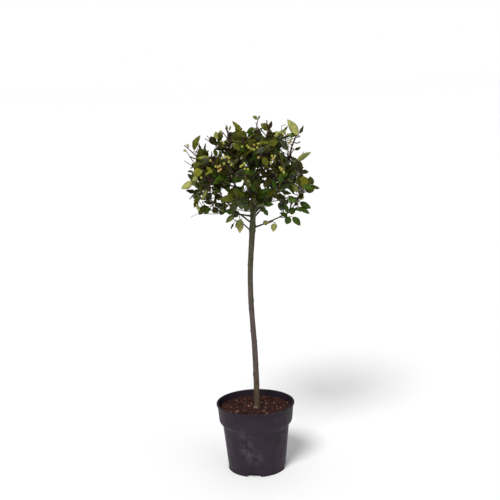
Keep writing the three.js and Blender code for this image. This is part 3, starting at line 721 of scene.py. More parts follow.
# Looks of a leaf: tints, roughness and coat of its upper side, dull or glossy, and its lower side.
LEAF_SKINS = {
    "olive": (["202003", "373805", "4e5009", "646611", "70721b"], 0.5, 0.2),
    "green": (["223204", "364c09"], 0.5, 0.2),
    "gloss": (["1c220e", "2c3318"], 0.3, 1),
    "under": (["40431c", "747840", "999a57"], 0.7, 0),
}
LEAF_LOOKS = []
FIRST = {}
for kind, (tints, roughness, coat) in LEAF_SKINS.items():
    FIRST[kind] = len(LEAF_LOOKS)
    LEAF_LOOKS += [leaf_skin(f"leaf_{kind}_{i}", tint, roughness, coat) for i, tint in enumerate(tints)]
MIDRIBS = (len(LEAF_LOOKS), len(LEAF_LOOKS) + 1)
LEAF_LOOKS += [leaf_skin("midrib_top", "4a4d1c", 0.5, 0), leaf_skin("midrib_under", "8f9058", 0.7, 0)]

# ---------------------------------------------------------------- the plan of the crown


def limb_path(site, fork):
    """The line of a bough and of the stem that carries it on, from inside the trunk to its site."""
    start = trunk_line(min(trunk_share(fork), 0.995))
    out, rise = BOUGH_BEND["leader" if fork >= TRUNK["top"] else "side"]
    return bend(start, start + (site - start) * vector(out, out, rise), site)


def plan_masses():
    """Every mass of foliage: its name, the middle of its space, and the bough that feeds it."""
    masses = []

    def add_mass(name, tier, bough, site, fork):
        path = limb_path(site, fork)
        masses.append(SimpleNamespace(name=name, tier=tier, bough=bough, site=site, fork=fork, path=path))

    for tier in TIERS:
        for i, (direction, height, fork) in enumerate(tier["masses"], 1):
            site = around(direction, tier["radius"], height)
            add_mass(f"{tier['name']}_{i}", tier["name"], tier["bough"], site, fork)
    low = LOW_SHOOT
    site = around(low["heading"], low["radius"], low["height"])
    add_mass("low_shoot", "lower", low["stem"], site, low["fork"])
    for mass in masses:
        between = np.array([other.site - mass.site for other in masses if other is not mass])
        apart = np.linalg.norm(between, axis=1)
        mass.walls = between / apart[:, None]
        mass.halves = apart / 2
    return masses


def crown_share(points):
    """How far out points lie in the crown: 1 is its surface."""
    p = CROWN["squareness"]
    offset = np.asarray(points, float) - CROWN_MIDDLE
    rise = offset[..., 2]
    sideways = np.hypot(offset[..., 0], offset[..., 1]) / CROWN["radius"]
    upwards = np.abs(rise) / np.where(rise > 0, CROWN["rise"], CROWN["drop"])
    return (sideways**p + upwards**p) ** (1 / p)


def in_space(points, mass, margin):
    """Whether points lie in a mass's own space: nearer to its site than to any other mass's."""
    offset = np.atleast_2d(points) - mass.site
    return bool(np.all(offset @ mass.walls.T < mass.halves - margin))


def entry_share(mass, step=1 / 60, margin=5, least=0.12, most=0.9):
    """The share of a limb's path where it enters the space of its mass for good."""
    share = 1.0
    while share > 0 and in_space(mass.path(share), mass, margin):
        share -= step
    return min(most, max(least, share + step))


def limb_samples(limbs, apart=3):
    """Points along the middle of every limb, and the radius there, to keep foliage clear of."""
    points, radii = [], []
    for path, radius_at in limbs:
        steps = math.ceil(length_of(path) / apart)
        shares = np.arange(steps + 1) / steps
        points.append(path(shares))
        radii.append(radius_at(shares))
    return np.concatenate(points), np.concatenate(radii)


def is_clear(points, samples, margin):
    """Whether points keep off the surface of every limb by a margin."""
    centres, radii = samples
    return bool(np.all(distance(np.atleast_2d(points)[:, None], centres) > radii + margin))


def through_window(points):
    """Whether any of some points stands in one of the gaps through the crown."""
    eye = np.array(CAMERA["place"], float)
    sight = np.atleast_2d(points) - eye
    seen = eye + sight * (-eye[1] / sight[:, 1])[:, None]
    off = (seen[:, None, ::2] - WINDOWS[:, :2]) / WINDOWS[:, 2:]
    return bool(np.any(np.sum(off**2, axis=2) < 1))


# ---------------------------------------------------------------- room for leaves


def leaf_points(leaf):
    """The corners of a leaf's room: stalk top and bottom, left, right, tip, upper middle."""
    half = leaf.length * LEAF["width"] / 2
    stalk = LEAF["stalk"] / 2
    droop = -leaf.length * LEAF["droop"]
    widest = leaf.length * LEAF["widest"]
    corners = np.array([
        (0, 0, stalk),
        (0, 0, -stalk),
        (widest, half, half * LEAF["fold"]),
        (widest, -half, half * LEAF["fold"]),
        (leaf.length, 0, droop),
        (leaf.length * 0.5, 0, LEAF["thickness"] - (stalk - droop) / 2),
    ])
    return leaf.root + corners @ axes_of(leaf)


def axes_of(leaf):
    """A leaf's own axes: along it, across it, and out of its upper side."""
    return np.array([leaf.along, np.cross(leaf.face, leaf.along), leaf.face])


def blade_of(leaf):
    """A leaf with the two halves of its blade as triangles, and the lines that bound them."""
    points = leaf_points(leaf)
    stalk, _, left, right, tip, _ = points
    halves = np.array([(stalk, left, tip), (stalk, tip, right)])
    lines = np.array([(stalk, left), (left, tip), (tip, right), (right, stalk), (stalk, tip)])
    return SimpleNamespace(points=points, halves=halves, lines=lines, middle=(stalk + tip) / 2)


def over_blade(blade):
    """Points spread over the two halves of a blade."""
    shares = np.linspace(0, 1, 7)
    weights = np.array([(1 - a - b, a, b) for a in shares for b in shares if a + b <= 1.001])
    return np.concatenate([weights @ half for half in blade.halves])


def cuts(lines, triangles):
    """Whether any of some lines passes through any of some triangles."""
    if len(lines) == 0 or len(triangles) == 0:
        return False
    start, corner = lines[:, None, 0], triangles[None, :, 0]
    line, offset = lines[:, None, 1] - start, start - corner
    edge_b, edge_c = triangles[None, :, 1] - corner, triangles[None, :, 2] - corner
    normal = np.cross(edge_b, edge_c)
    slant = np.sum(line * normal, axis=-1)
    slant = np.where(np.abs(slant) < 1e-9, np.nan, slant)
    turn = np.cross(line, offset)
    reach = -np.sum(offset * normal, axis=-1) / slant
    share_b = np.sum(edge_c * turn, axis=-1) / slant
    share_c = -np.sum(edge_b * turn, axis=-1) / slant
    inside = (share_b >= 0) & (share_c >= 0) & (share_b + share_c <= 1)
    return bool(np.any((reach >= 0) & (reach <= 1) & inside))


class Room:
    """The blades, twigs and fruiting spurs that already have their place."""

    def __init__(self):
        self.blades = []
        self.middles = np.zeros((0, 3))
        self.twigs = np.zeros((0, 2, 3))
        self.spurs = np.zeros((0, 3))

    def add_blade(self, blade):
        self.blades.append(blade)
        self.middles = np.vstack([self.middles, blade.middle])

    def add_twig(self, path):
        self.twigs = np.concatenate([self.twigs, chords_of(path)])

    def clashes(self, blade, apart, reach):
        """Whether a blade crosses another one, or lies too close face to face."""
        away = distance(self.middles, blade.middle)
        if np.any(away < apart):
            return True
        near_by = [self.blades[i] for i in np.flatnonzero(away <= reach)]
        if not near_by:
            return False
        halves = np.concatenate([other.halves for other in near_by])
        lines = np.concatenate([other.lines for other in near_by])
        return cuts(blade.lines, halves) or cuts(lines, blade.halves)

    def twig_through(self, blade, reach=70):
        """Whether a twig passes through a blade."""
        return cuts(self.twigs[distance(self.twigs[:, 0], blade.middle) < reach], blade.halves)

    def shades_fruit(self, blade, ahead_from=-6, aside_within=11):
        """Whether a blade hides a fruiting spur from outside the crown, or lies in its berries."""
        outward = unit(unit(self.spurs - CROWN_MIDDLE) * vector(1, 1, 0.35))
        points = np.vstack([blade.points, blade.middle, (blade.points[2:4] + blade.points[4]) / 2])
        offset = points[:, None] - self.spurs
        ahead = np.sum(offset * outward, axis=2)
        aside = np.linalg.norm(offset - ahead[..., None] * outward, axis=2)
        return bool(np.any((ahead > ahead_from) & (aside < aside_within)))


def blade_is_clear(blade, samples):
    """Whether a blade keeps off every limb: neither pierced by one nor lying against one."""
    shares = np.array([0.2, 0.4, 0.6, 0.8, 1])[:, None, None]
    points = mix(blade.lines[:, 0], blade.lines[:, 1], shares).reshape(-1, 3)
    return is_clear(points, samples, LIMB_CLEARANCE)


def berry_middles(path, share, start):
    """The middles of the berries in a cluster that sits round a shoot."""
    axis = heading(path, share)
    middles = []
    for i in range(BERRY["per_cluster"]):
        out = spoke(axis, start + i * TURN / BERRY["per_cluster"])
        middles.append(path(share) + (axis * (i - 1) * 0.5 + out * 1.2) * BERRY["radius"])
    return np.array(middles)


# ---------------------------------------------------------------- growth of shoots and leaves


def new_shoot(**facts):
    """A shoot's facts, with those of a common shoot where none are given."""
    common = dict(most=LEAF["most"], size=LEAF["length"], limit=1, aim=None, face=None, kind="full")
    return SimpleNamespace(**{**common, **facts})


def new_leaf(root, along, face, length, **more):
    """A leaf: its root, how it points and faces, and its length. Its width is left to chance."""
    facts = dict(root=root, along=along, face=face, length=length, half=None, curl=1)
    return SimpleNamespace(**{**facts, **more})


def shoot_targets():
    """The tips of all shoots: evenly spread ones within the crown, then the sprigs."""
    random = seeded_random(SEEDS["tips"])
    targets = []
    count = SHOOTS["count"]
    for i in range(count):
        z = 1 - (2 * (i + 0.5)) / count
        flat = math.sqrt(1 - z * z)
        angle = i * GOLDEN_ANGLE
        direction = vector(flat * math.cos(angle), flat * math.sin(angle), z)
        share = mix(*SHOOTS["reach"], random()) / crown_share(CROWN_MIDDLE + direction)
        if z > SHOOTS["lowest"]:
            targets.append(new_shoot(tip=CROWN_MIDDLE + direction * share))
    face = vector(*SPRIG_FACE)
    for tip, most, size, aim, kind in SPRIGS:
        facts = dict(most=most, size=size, limit=SPRIG_LIMIT, aim=unit(aim), face=face, kind=kind)
        targets.append(new_shoot(tip=around(*tip), **facts))
    return targets


def lay_shoots(stem, targets):
    """The shoots of a mass, from points spread evenly along its stem to their tips."""
    axis = stem(1) - stem(0)
    order = sorted(targets, key=lambda target: float(target.tip @ axis))
    for i, shoot in enumerate(order):
        shoot.path = straight(stem(mix(0.08, 0.95, (i + 0.5) / len(order))), shoot.tip)
    return order


def first_fit(proposed, fits, room):
    """The first of some proposed leaves that finds room, in a list, or an empty list."""
    for leaf in proposed:
        leaf.blade = blade_of(leaf)
        if fits(leaf.blade):
            room.add_blade(leaf.blade)
            return [leaf]
    return []


def propose_leaf(shoot, share, draws, attempt):
    """Where one leaf of a shoot would stand. Each further try takes the next side."""
    sway = draws.sway * (1 - RETRY["steadier"] * attempt)
    out = spoke(heading(shoot.path, share), TURN * (1 / 12 + (draws.rank + attempt) / 3) + sway)
    aim = heading(shoot.path, share) if shoot.aim is None else shoot.aim
    forward = aim * (STANCE["forward"] + RETRY["forward"] * attempt)
    along = unit(out * draws.spread + forward + UP * STANCE["up"] * draws.rise)
    root = shoot.path(share) - along * STANCE["sunk"]
    outward = unit(root - CROWN_MIDDLE) + UP if shoot.face is None else shoot.face
    face = turned_about(across(outward, along), along, draws.roll)
    length = mix(*shoot.size, draws.size) * (1 - RETRY["shorter"] * attempt)
    return new_leaf(root, along, face, length, share=share, shoot=shoot)


def grow_leaves(shoot, fits, room, random):
    """Leaves along a shoot from its tip back, skipping any that find no room."""
    first = math.floor(3 * random())
    leaves = []
    for k in range(shoot.most):
        share = 1 - (LEAF["first"] + k * LEAF["spacing"]) / length_of(shoot.path)
        draws = SimpleNamespace(rank=first + k, spread=STANCE["out" if k else "tip_out"])
        draws.sway = (random() - 0.5) * STANCE["sway"]
        draws.rise = random()
        draws.roll = (random() - 0.5) * STANCE["roll"]
        draws.size = random()
        if share > LEAF["lowest"]:
            tries = (propose_leaf(shoot, share, draws, attempt) for attempt in range(LEAF["tries"]))
            leaves += first_fit(tries, fits, room)
    return leaves


def grow_mass(mass, index, samples, targets):
    """The shoots, leaves and berry clusters of one mass, laid out as its solid is."""
    random = seeded_random(SEEDS["masses"] + index)
    near_by = distance(samples[0], mass.site) < LIMB_REACH
    samples = (samples[0][near_by], samples[1][near_by])
    shoots, clusters = [new_shoot(path=mass.stem)], []
    for shoot in lay_shoots(mass.stem, targets):
        berried = random() < BERRY["share"]
        middles = berry_middles(shoot.path, BERRY["along"], random() * TURN)
        points = shoot.path(np.array([0.3, 0.5, 0.7, 0.85, 1]))
        if in_space(points, mass, LIMB_CLEARANCE) and is_clear(points, samples, LIMB_CLEARANCE):
            shoots.append(shoot)
            margin = BERRY["radius"] + GAP
            if berried and in_space(middles, mass, margin) and is_clear(middles, samples, margin):
                clusters.append((shoot, middles))
    room = Room()
    berries = np.concatenate([np.zeros((0, 3))] + [middles for _, middles in clusters])

    leaves = []
    for own in shoots:
        others = np.concatenate(
            [np.zeros((0, 2, 3))] + [chords_of(shoot.path) for shoot in shoots if shoot is not own]
        )

        def fits(blade):
            return (
                np.all(crown_share(blade.points) < own.limit)
                and in_space(blade.points, mass, GAP)
                and np.all(distance(berries, blade.middle) > 3 * BERRY["radius"])
                and not cuts(others, blade.halves)
                and blade_is_clear(blade, samples)
                and not room.clashes(blade, LEAF["apart"], LEAF["length"][1])
            )

        leaves += grow_leaves(own, fits, room, random)
    return shoots, leaves, [shoot for shoot, _ in clusters]


def grow_plant():
    """The masses with their shoots and leaves as the solids have them, and samples of the limbs."""
    masses = plan_masses()
    limbs = [(trunk_line, trunk_radius)]
    for mass in masses:
        long = length_of(mass.path)
        if mass.name == "low_shoot":
            mass.entry = LOW_SHOOT["entry"]
            mass.stem = stretch(mass.path, TRUNK["top_radius"] / 2 / long, 1)
            continue
        mass.entry = entry_share(mass)
        mass.stem = stretch(mass.path, mass.entry + GAP / long, 1)
        bough = stretch(mass.path, 0, mass.entry)
        limbs.append((bough, lambda share, radii=mass.bough: mix(*radii, share)))
    samples = limb_samples(limbs)
    targets = shoot_targets()
    for index, mass in enumerate(masses):
        own = [target for target in targets if in_space(target.tip, mass, 0)]
        mass.shoots, mass.leaves, mass.fruited = grow_mass(mass, index, samples, own)
    return masses, samples


# ---------------------------------------------------------------- finer growth


def bow_shoot(shoot):
    """Gives a laid-out shoot its slight bend."""
    start, end = shoot.path(0), shoot.path(1)
    reach = distance(end, start) * SHOOT_BOW["reach"]
    aside = spoke(unit(end - start), shoot.detail() * TURN) * reach
    shoot.path = bowed(start, end, aside - UP * reach * SHOOT_BOW["sag"])


def grow_side_twigs(shoot, samples):
    """Side twigs off one shoot, each with random numbers of its own."""
    twigs, rule = [], SIDE_TWIG
    count = int(length_of(shoot.path) * rule["bearing"] / rule["spacing"])
    phase = shoot.detail() * TURN
    for k in range(count):
        share = rule["from"] + rule["over"] * (k + 0.5) / count
        own = own_random(shoot.detail)
        root, axis = shoot.path(share), heading(shoot.path, share)
        outward = unit(root - CROWN_MIDDLE)
        forward = axis * rule["forward"] + outward * rule["outward"] + UP * rule["up"]
        for attempt in range(rule["tries"]):
            aim = unit(spoke(axis, phase + k * GOLDEN_ANGLE + attempt * rule["turn"]) + forward)
            reach = mix(*rule["length"], own()) * (1 - rule["shorter"] * attempt)
            path = bowed(root, root + aim * reach, across(UP, aim) * reach * rule["bow"])
            points = path(np.array([0.4, 0.7, 1.0]))
            inside = np.all(crown_share(points) < rule["reach"])
            if inside and is_clear(points, samples, rule["clear"]) and not through_window(points):
                twigs.append(SimpleNamespace(path=path, length=reach, detail=own))
                break
    return twigs


def lit_face(root, along, detail):
    """Which way a leaf's upper side faces: out of the crown and up, some turned well away."""
    towards = unit(root - CROWN_MIDDLE) + UP * FACING["up"]
    roll = (detail() - 0.5) * FACING["their_roll" if detail() < FACING["some"] else "roll"]
    return turned_about(across(towards, along), along, roll)


def side_leaf(twig, share, rank, attempt):
    """Where one leaf of a side twig would stand."""
    rule, axis = SIDE_LEAF, heading(twig.path, share)
    turned = rank * GOLDEN_ANGLE + attempt * rule["turn"] + twig.detail() * rule["sway"]
    out = spoke(axis, turned) * rule["tip_out" if share > 0.97 else "out"]
    along = unit(out + axis * rule["forward"] + UP * rule["up"] * twig.detail())
    root = twig.path(share) - along * rule["sunk"]
    face = lit_face(root, along, twig.detail)
    length = mix(*rule["length"], twig.detail()) * (1 - rule["shorter"] * attempt)
    return new_leaf(root, along, face, length)


def grow_side_leaves(twig, samples, room):
    """Leaves along a side twig from its tip back, skipping any that find no room."""

    def fits(blade):
        return (
            np.all(crown_share(blade.points) < 1)
            and not through_window(over_blade(blade))
            and not room.shades_fruit(blade)
            and blade_is_clear(blade, samples)
            and not room.twig_through(blade)
            and not room.clashes(blade, SIDE_LEAF["apart"], SIDE_LEAF["reach"])
        )

    leaves = []
    for k in range(SIDE_LEAF["most"]):
        share = 1 - (SIDE_LEAF["first"] + k * SIDE_LEAF["spacing"]) / twig.length
        if share >= SIDE_LEAF["lowest"]:
            tries = (side_leaf(twig, share, k, attempt) for attempt in range(SIDE_LEAF["tries"]))
            leaves += first_fit(tries, fits, room)
    return leaves


# ---------------------------------------------------------------- meshes of leaf, twig and berry

ROWS = np.array([0, 0.04, *np.arange(0.1, 0.9, 0.07), 0.93, 0.97, 1])
COLUMNS = np.array([-1, -0.55, -0.055, 0.055, 0.55, 1])
STALK_SHARE = 0.1

# How blades vary: half width, droop, arch and bow as shares of the length; waves of the half
# width; the share of spiny blades, and how far spines and nicks stand out.
BLADE = {
    "half": (0.2, 0.27), "fold": (0.2, 0.75), "droop": (0, 0.3), "arch": (-0.02, 0.08), "bow": 0.11,
    "twist": 1.1, "wave": (0.05, 0.26), "waves": 2.2, "spiny": 0.45, "spines": 0.09, "nicks": 0.02,
    "body": 0.55, "rib": 0.3,
}


def leaf_outline(rows, a=0.72, b=0.95):
    """Half the width of a blade along it, one at its widest."""
    top = (a / (a + b)) ** a * (b / (a + b)) ** b
    return np.maximum(rows**a * (1 - rows) ** b / top, 0.02)


def leaf_faces():
    """Faces of a blade whose two skins share their edges, and the kind of each: top, under, ribs."""
    rows, columns = len(ROWS), len(COLUMNS)
    upper = np.arange(rows * columns).reshape(rows, columns)
    lower = upper.copy()
    lower[:, 1:-1] = rows * columns + np.arange(rows * (columns - 2)).reshape(rows, -1)
    faces, kinds = [], []
    for i in range(rows - 1):
        for j in range(columns - 1):
            faces.append([upper[i, j], upper[i + 1, j], upper[i + 1, j + 1], upper[i, j + 1]])
            faces.append([lower[i, j], lower[i, j + 1], lower[i + 1, j + 1], lower[i + 1, j]])
            kinds += [2, 3] if j == columns // 2 - 1 else [0, 1]
    for i, step in ((0, 1), (rows - 1, -1)):
        ends = list(upper[i]) + list(lower[i, -2:0:-1])
        faces.append(ends[::step])
        kinds.append(1)
    return [[int(v) for v in face] for face in faces], kinds


LEAF_FACES, LEAF_KINDS = leaf_faces()


def leaf_mesh(leaf, detail):
    """A blade's points: folded along its midrib, waved at its margin, drooping to its tip."""
    long, blade = leaf.length, leaf.length * (1 - STALK_SHARE)
    half = long * mix(*BLADE["half"], detail()) if leaf.half is None else leaf.half
    fold = mix(*BLADE["fold"], detail() ** 1.5)
    droop = mix(*BLADE["droop"], detail() ** 1.4) * long * leaf.curl
    arch = mix(*BLADE["arch"], detail()) * long
    twist = (detail() - 0.5) * BLADE["twist"]
    wave = mix(*BLADE["wave"], detail()) * half
    phase = detail() * TURN
    teeth = BLADE["spines"] if detail() < BLADE["spiny"] else BLADE["nicks"]
    bow = (detail() - 0.5) * BLADE["bow"] * long
    margin = leaf_outline(ROWS) * (1 + teeth * np.where(np.arange(len(ROWS)) % 2 == 1, 1, -0.6))
    margin = margin[:, None]
    u, t = COLUMNS[None, :], ROWS[:, None]
    hump = np.sin(np.pi * t)
    sideways = u * margin * half
    lift = fold * np.abs(sideways) * (1 - 0.35 * np.abs(u)) + arch * hump - droop * t**2.2
    lift = lift + wave * u**2 * np.sin(TURN * BLADE["waves"] * t + phase + (u > 0) * 1.8) * hump
    rib = BLADE["rib"] * (np.abs(u) < 0.1)
    upper = lift - rib
    lower = upper - rib - BLADE["body"] * (1 - np.abs(u) ** 2) * np.minimum(1, margin * 3 + 0.3)
    raised = sideways * np.sin(twist * t)
    x = np.broadcast_to(long * STALK_SHARE + blade * t, upper.shape)
    y = sideways * np.cos(twist * t) + bow * hump
    top_skin = np.stack([x, y, upper + raised], axis=-1)
    low_skin = np.stack([x, y, lower + raised], axis=-1)[:, 1:-1]
    local = np.concatenate([top_skin.reshape(-1, 3), low_skin.reshape(-1, 3)])
    return leaf.root + local @ axes_of(leaf)


def add_leaf(blades, twigs, leaf, detail):
    """A leaf's blade and its stalk."""
    top, under = leaf.tints
    looks = (top, FIRST["under"] + under, *MIDRIBS)
    blades.add(leaf_mesh(leaf, detail), LEAF_FACES, [looks[kind] for kind in LEAF_KINDS])
    stalk = straight(leaf.root, leaf.root + leaf.along * leaf.length * (STALK_SHARE + 0.03))
    twigs.add(*limb(stalk, lambda share: mix(*LEAF_STALK, share), sides=5, steps=1), 1)


def twig_mesh(path, radii, sides, nodes, detail):
    """A twig with a slight swelling at each node."""
    phase = detail() * TURN

    def radius_at(share):
        swell = NODE_SWELL * np.maximum(0, np.cos(share * nodes * TURN + phase)) ** 4
        return mix(*radii, share) * (1 + swell)

    return limb(path, radius_at, sides, max(4, nodes * 3))


def bud_mesh(path, sunk, length, radius):
    """A pointed bud that sits in the tip of a twig."""
    axis = heading(path, 1)
    root = path(1) - axis * sunk
    bud = straight(root, root + axis * length)
    widths = np.array(BUD_SHAPE["widths"]) * radius
    return limb(bud, lambda share: np.interp(share, BUD_SHAPE["shares"], widths), sides=6, steps=4)


def unit_berry(sides=14, rows=10, dimple=0.14):
    """The points and faces of a ball of radius one, with a small dimple at its top."""
    angles = np.linspace(0, math.pi, rows + 1)
    points, faces = lathe(list(zip(np.sin(angles), -np.cos(angles))), sides)
    points[-1, 2] -= dimple
    return points, faces


BERRY_POINTS, BERRY_FACES = unit_berry()
BERRY_SCAR = [all(BERRY_POINTS[i][2] > 0.84 for i in face) for face in BERRY_FACES]


def berry_mesh(middle, radius, outward):
    """A berry's points, with its dimple outwards."""
    side = np.cross(outward, across(vector(1, 0, 0.3), outward))
    return middle + BERRY_POINTS * radius @ np.array([side, np.cross(outward, side), outward])


def loose_places(middle, out, count, detail):
    """Places spread loosely round a middle, wider than deep, each a berry clear of the others."""
    spread = CLUSTER["spread"] + CLUSTER["per_berry"] * count
    spots = []
    for _ in range(count * CLUSTER["tries"]):
        angle, reach = detail() * TURN, spread * math.sqrt(detail())
        depth = (detail() - 0.5) * spread * CLUSTER["depth"]
        spot = middle + spoke(out, angle) * reach + out * depth
        if all(distance(spot, other) > CLUSTER["apart"] for other in spots):
            spots.append(spot)
        if len(spots) == count:
            break
    return spots


def add_cluster(pieces, path, middle, count, detail):
    """Berries on short stalks that leave the twig they are on."""
    nodes = path(np.linspace(0.35, 1, 14))
    out = unit(middle - CROWN_MIDDLE)
    for spot in loose_places(middle, out, count, detail):
        foot = nodes[int(np.argmin(distance(nodes, spot)))]
        reach = distance(spot, foot)
        if reach < CLUSTER["shortest"]:
            reach = CLUSTER["stalk"]
            spot = foot + out * reach
        away = unit(spot - foot)
        radius = mix(*FRUIT_RADIUS, detail())
        stalk = bowed(foot, spot - away * radius * 0.9, -UP * reach * 0.06)
        green = int(reach < CLUSTER["green_stalk"])
        radii = (CLUSTER["radii"][green], CLUSTER["end_radius"])
        pieces["twigs"].add(*limb(stalk, lambda share: mix(*radii, share), sides=5, steps=3), green)
        blush = int(detail() < CLUSTER["blush"])
        looks = [2 if scar else blush for scar in BERRY_SCAR]
        pieces["berries"].add(berry_mesh(spot, radius, away), BERRY_FACES, looks)


# ---------------------------------------------------------------- pot and compost


COLLAR_FOOT = POT_HEIGHT - COLLAR["height"]
BODY_TOP = COLLAR_FOOT - STEP["drop"]


def pot_profile():
    """The pot's whole section, up its outside, over the rolled lip and down its inside."""
    foot, foot_top, step, collar, rim = (
        FOOT["radius"], FOOT["height"], STEP["radius"], COLLAR["foot_radius"], LIP["radius"]
    )
    stand = foot + FOOT["stand"]
    knee, knee_height = mix(step, collar, 0.8), COLLAR_FOOT - STEP["drop"] * 0.35
    lip_foot = POT_HEIGHT - LIP["height"]
    neck = rim - LIP["stand"]
    inner = neck - WALL
    outside = [
        (0, 0), (stand - 1.4, 0), (stand - 0.4, 0.3), (stand, 1.2), (stand, foot_top - 1.2),
        (stand - 0.5, foot_top - 0.3), (foot + 0.3, foot_top), (foot + 0.35, foot_top + 1.5),
        (mix(foot, step, 0.5), mix(foot_top, BODY_TOP, 0.5)), (step - 0.1, BODY_TOP - 1.5),
        (step + 0.3, BODY_TOP), (step + 1.5, BODY_TOP + 1.6), (knee, knee_height),
        (knee + 1.2, COLLAR_FOOT - STEP["drop"] * 0.18), (collar - 0.2, COLLAR_FOOT - 0.8),
        (collar, COLLAR_FOOT + 1), (neck, lip_foot - 1.6), (neck + 0.9, lip_foot - 0.6),
        (rim - 0.5, lip_foot + 0.1),
    ]
    lip = [
        (rim, lip_foot + 0.9), (rim, POT_HEIGHT - 1.4), (rim - 0.4, POT_HEIGHT - 0.4),
        (rim - 1.3, POT_HEIGHT), (inner + 1.6, POT_HEIGHT), (inner + 0.5, POT_HEIGHT - 0.6),
        (inner, POT_HEIGHT - 1.6),
    ]
    inside = [
        (inner, lip_foot), (collar - WALL, COLLAR_FOOT), (knee - WALL, knee_height),
        (step - WALL, BODY_TOP), (foot - WALL, WALL + 2), (foot - WALL - 2, WALL), (0, WALL),
    ]
    return outside + lip + inside


def notch_heading(index):
    """The way a notch faces, in degrees."""
    return NOTCH["heading"] + index * 360 / NOTCH["count"]


def notch_prism(index, grow=0):
    """One drainage notch as a prism that runs in from the edge of the base.

    Grown by the wall, it is the moulded box round the notch, kept inside the wall of the pot.
    """
    foot, head, top = NOTCH["width"] / 2 + grow, NOTCH["top_width"] / 2 + grow, NOTCH["height"] + grow
    section = [(-foot - 1, -1), (foot + 1, -1), (head, top), (-head, top)]
    outer = -FOOT["radius"] - 5
    inner = outer + NOTCH["reach"] + grow
    points = np.array([(x, y, z) for y in (inner, outer) for x, z in section], float)
    if grow:
        points = np.maximum(points, (-np.inf, 8 - FOOT["radius"], WALL / 2))
    spin = np.array(Matrix.Rotation(math.radians(notch_heading(index) + 90), 3, "Z"))
    return points @ spin.T, ring_faces(4, 2)


def drain_hole(index):
    """A round hole through the ceiling of one notch."""
    radius = FOOT["radius"] - NOTCH["reach"] / 2 - 4
    middle = around(notch_heading(index), radius, NOTCH["height"] - 4, 0)
    through = straight(middle, middle + UP * 8)
    return limb(through, lambda share: np.full_like(share, DRAIN_RADIUS), sides=20, steps=1)


def cut_with(thing, shapes, operation="DIFFERENCE"):
    """Cuts shapes out of an object, or joins them to it, and removes them."""
    for i, (points, faces) in enumerate(shapes):
        cutter = new_solid(f"cutter_{i}", points, faces)
        modifier = thing.modifiers.new("cut", "BOOLEAN")
        modifier.operation = operation
        modifier.solver = "EXACT"
        modifier.object = cutter
        graph = bpy.context.evaluated_depsgraph_get()
        mesh = bpy.data.meshes.new_from_object(thing.evaluated_get(graph))
        thing.modifiers.clear()
        thing.data = mesh
        bpy.data.objects.remove(cutter)


def make_pot():
    """The pot, with the ceilings of its notches moulded into its floor."""
    pot = new_solid("nursery_pot", *lathe(pot_profile(), POT_SIDES))
    notches = range(NOTCH["count"])
    cut_with(pot, [notch_prism(i, WALL) for i in notches], "UNION")
    cut_with(pot, [notch_prism(i) for i in notches])
    cut_with(pot, [drain_hole(i) for i in notches])
    pot.data.materials.clear()
    pot.data.materials.append(pot_plastic())
    pot.data.shade_smooth()
    pot.data.set_sharp_from_angle(angle=math.radians(CRISP_FROM))
    attach(pot, "pot", ["pot"])


def compost_height(x, y):
    """The lumpy top of the compost, mounded a little to the middle and higher at the back."""
    level = COMPOST["level"] - COMPOST["edge_drop"] * (math.hypot(x, y) / COMPOST["reach"]) ** 2
    lump = COMPOST["lump_size"]
    rough = noise.fractal(Vector((x / lump, y / lump, 0)), 0.7, 2.1, 4)
    back = max(0, y / COMPOST["back_reach"]) ** 1.4
    return level + COMPOST["lumps"] * rough - COMPOST["sunk"] + COMPOST["back_rise"] * back


def make_compost():
    """The bed of compost: its sides follow the pot, and its top is lumpy. Gives its top's radius."""
    edge = COMPOST["level"] - COMPOST["edge_drop"]
    inner = WALL + GAP
    floor = NOTCH["height"] + inner + 1
    slope = (LIP["radius"] - LIP["stand"] - COLLAR["foot_radius"]) / (COLLAR["height"] - LIP["height"])
    edge_radius = COLLAR["foot_radius"] - inner + (edge - COLLAR_FOOT) * slope
    profile = [
        (0, floor), (FOOT["radius"] - inner - 1, floor), (STEP["radius"] - inner, BODY_TOP),
        (COLLAR["foot_radius"] - inner, COLLAR_FOOT), (edge_radius, edge - 2),
    ]
    profile += [(edge_radius * share, edge) for share in [*np.linspace(0.995, 0.02, 50), 0]]
    points, faces = lathe(profile, COMPOST["sides"])
    for point in points:
        if point[2] >= edge - 0.5:
            point[2] = compost_height(point[0], point[1])
    bed = Piece("compost_bed", "compost", [soil()], ["compost"])
    bed.add(points, faces)
    bed.build()
    return edge_radius


# Chips: how many, how ragged, the share of fibres, and the bare ring round the trunk. A chip's
# width is a share of its length, and the thickness of both is a share of their width.
CHIPS = {"count": 2300, "ragged": 0.35, "fibres": 0.16, "bare": 10, "thick": (0.4, 0.8)}
CHIP = {"long": (3.5, 9), "wide": (0.4, 0.75)}
FIBRE = {"long": (8, 17), "wide": (0.8, 1.6)}

# Their kinds: name, dark and light tones, and from what draw on each one is dealt out.
CHIP_KINDS = [
    ("chip_dark", "150a08", "2e1813", 0),
    ("chip_brown", "22110f", "3b201b", 0.3),
    ("chip_red", "331512", "52261f", 0.66),
    ("chip_tan", "5c3d31", "926b5a", 0.96),
]


def chip_sizes(detail):
    """Length, width and thickness of a chip or, now and then, of a long fibre."""
    if detail() < CHIPS["fibres"]:
        long = mix(*FIBRE["long"], detail())
        wide = mix(*FIBRE["wide"], detail())
    else:
        long = mix(*CHIP["long"], detail() ** 1.5)
        wide = long * mix(*CHIP["wide"], detail())
    return long, wide, wide * mix(*CHIPS["thick"], detail())


def chip_spin(detail):
    """How one chip lies: any way round and on any side, tipped a little."""
    spin = Matrix.Rotation(detail() * TURN, 3, "Z")
    spin = spin @ Matrix.Rotation((detail() - 0.5) * 0.9, 3, "Y")
    return np.array(spin @ Matrix.Rotation(detail() * TURN, 3, "X"))


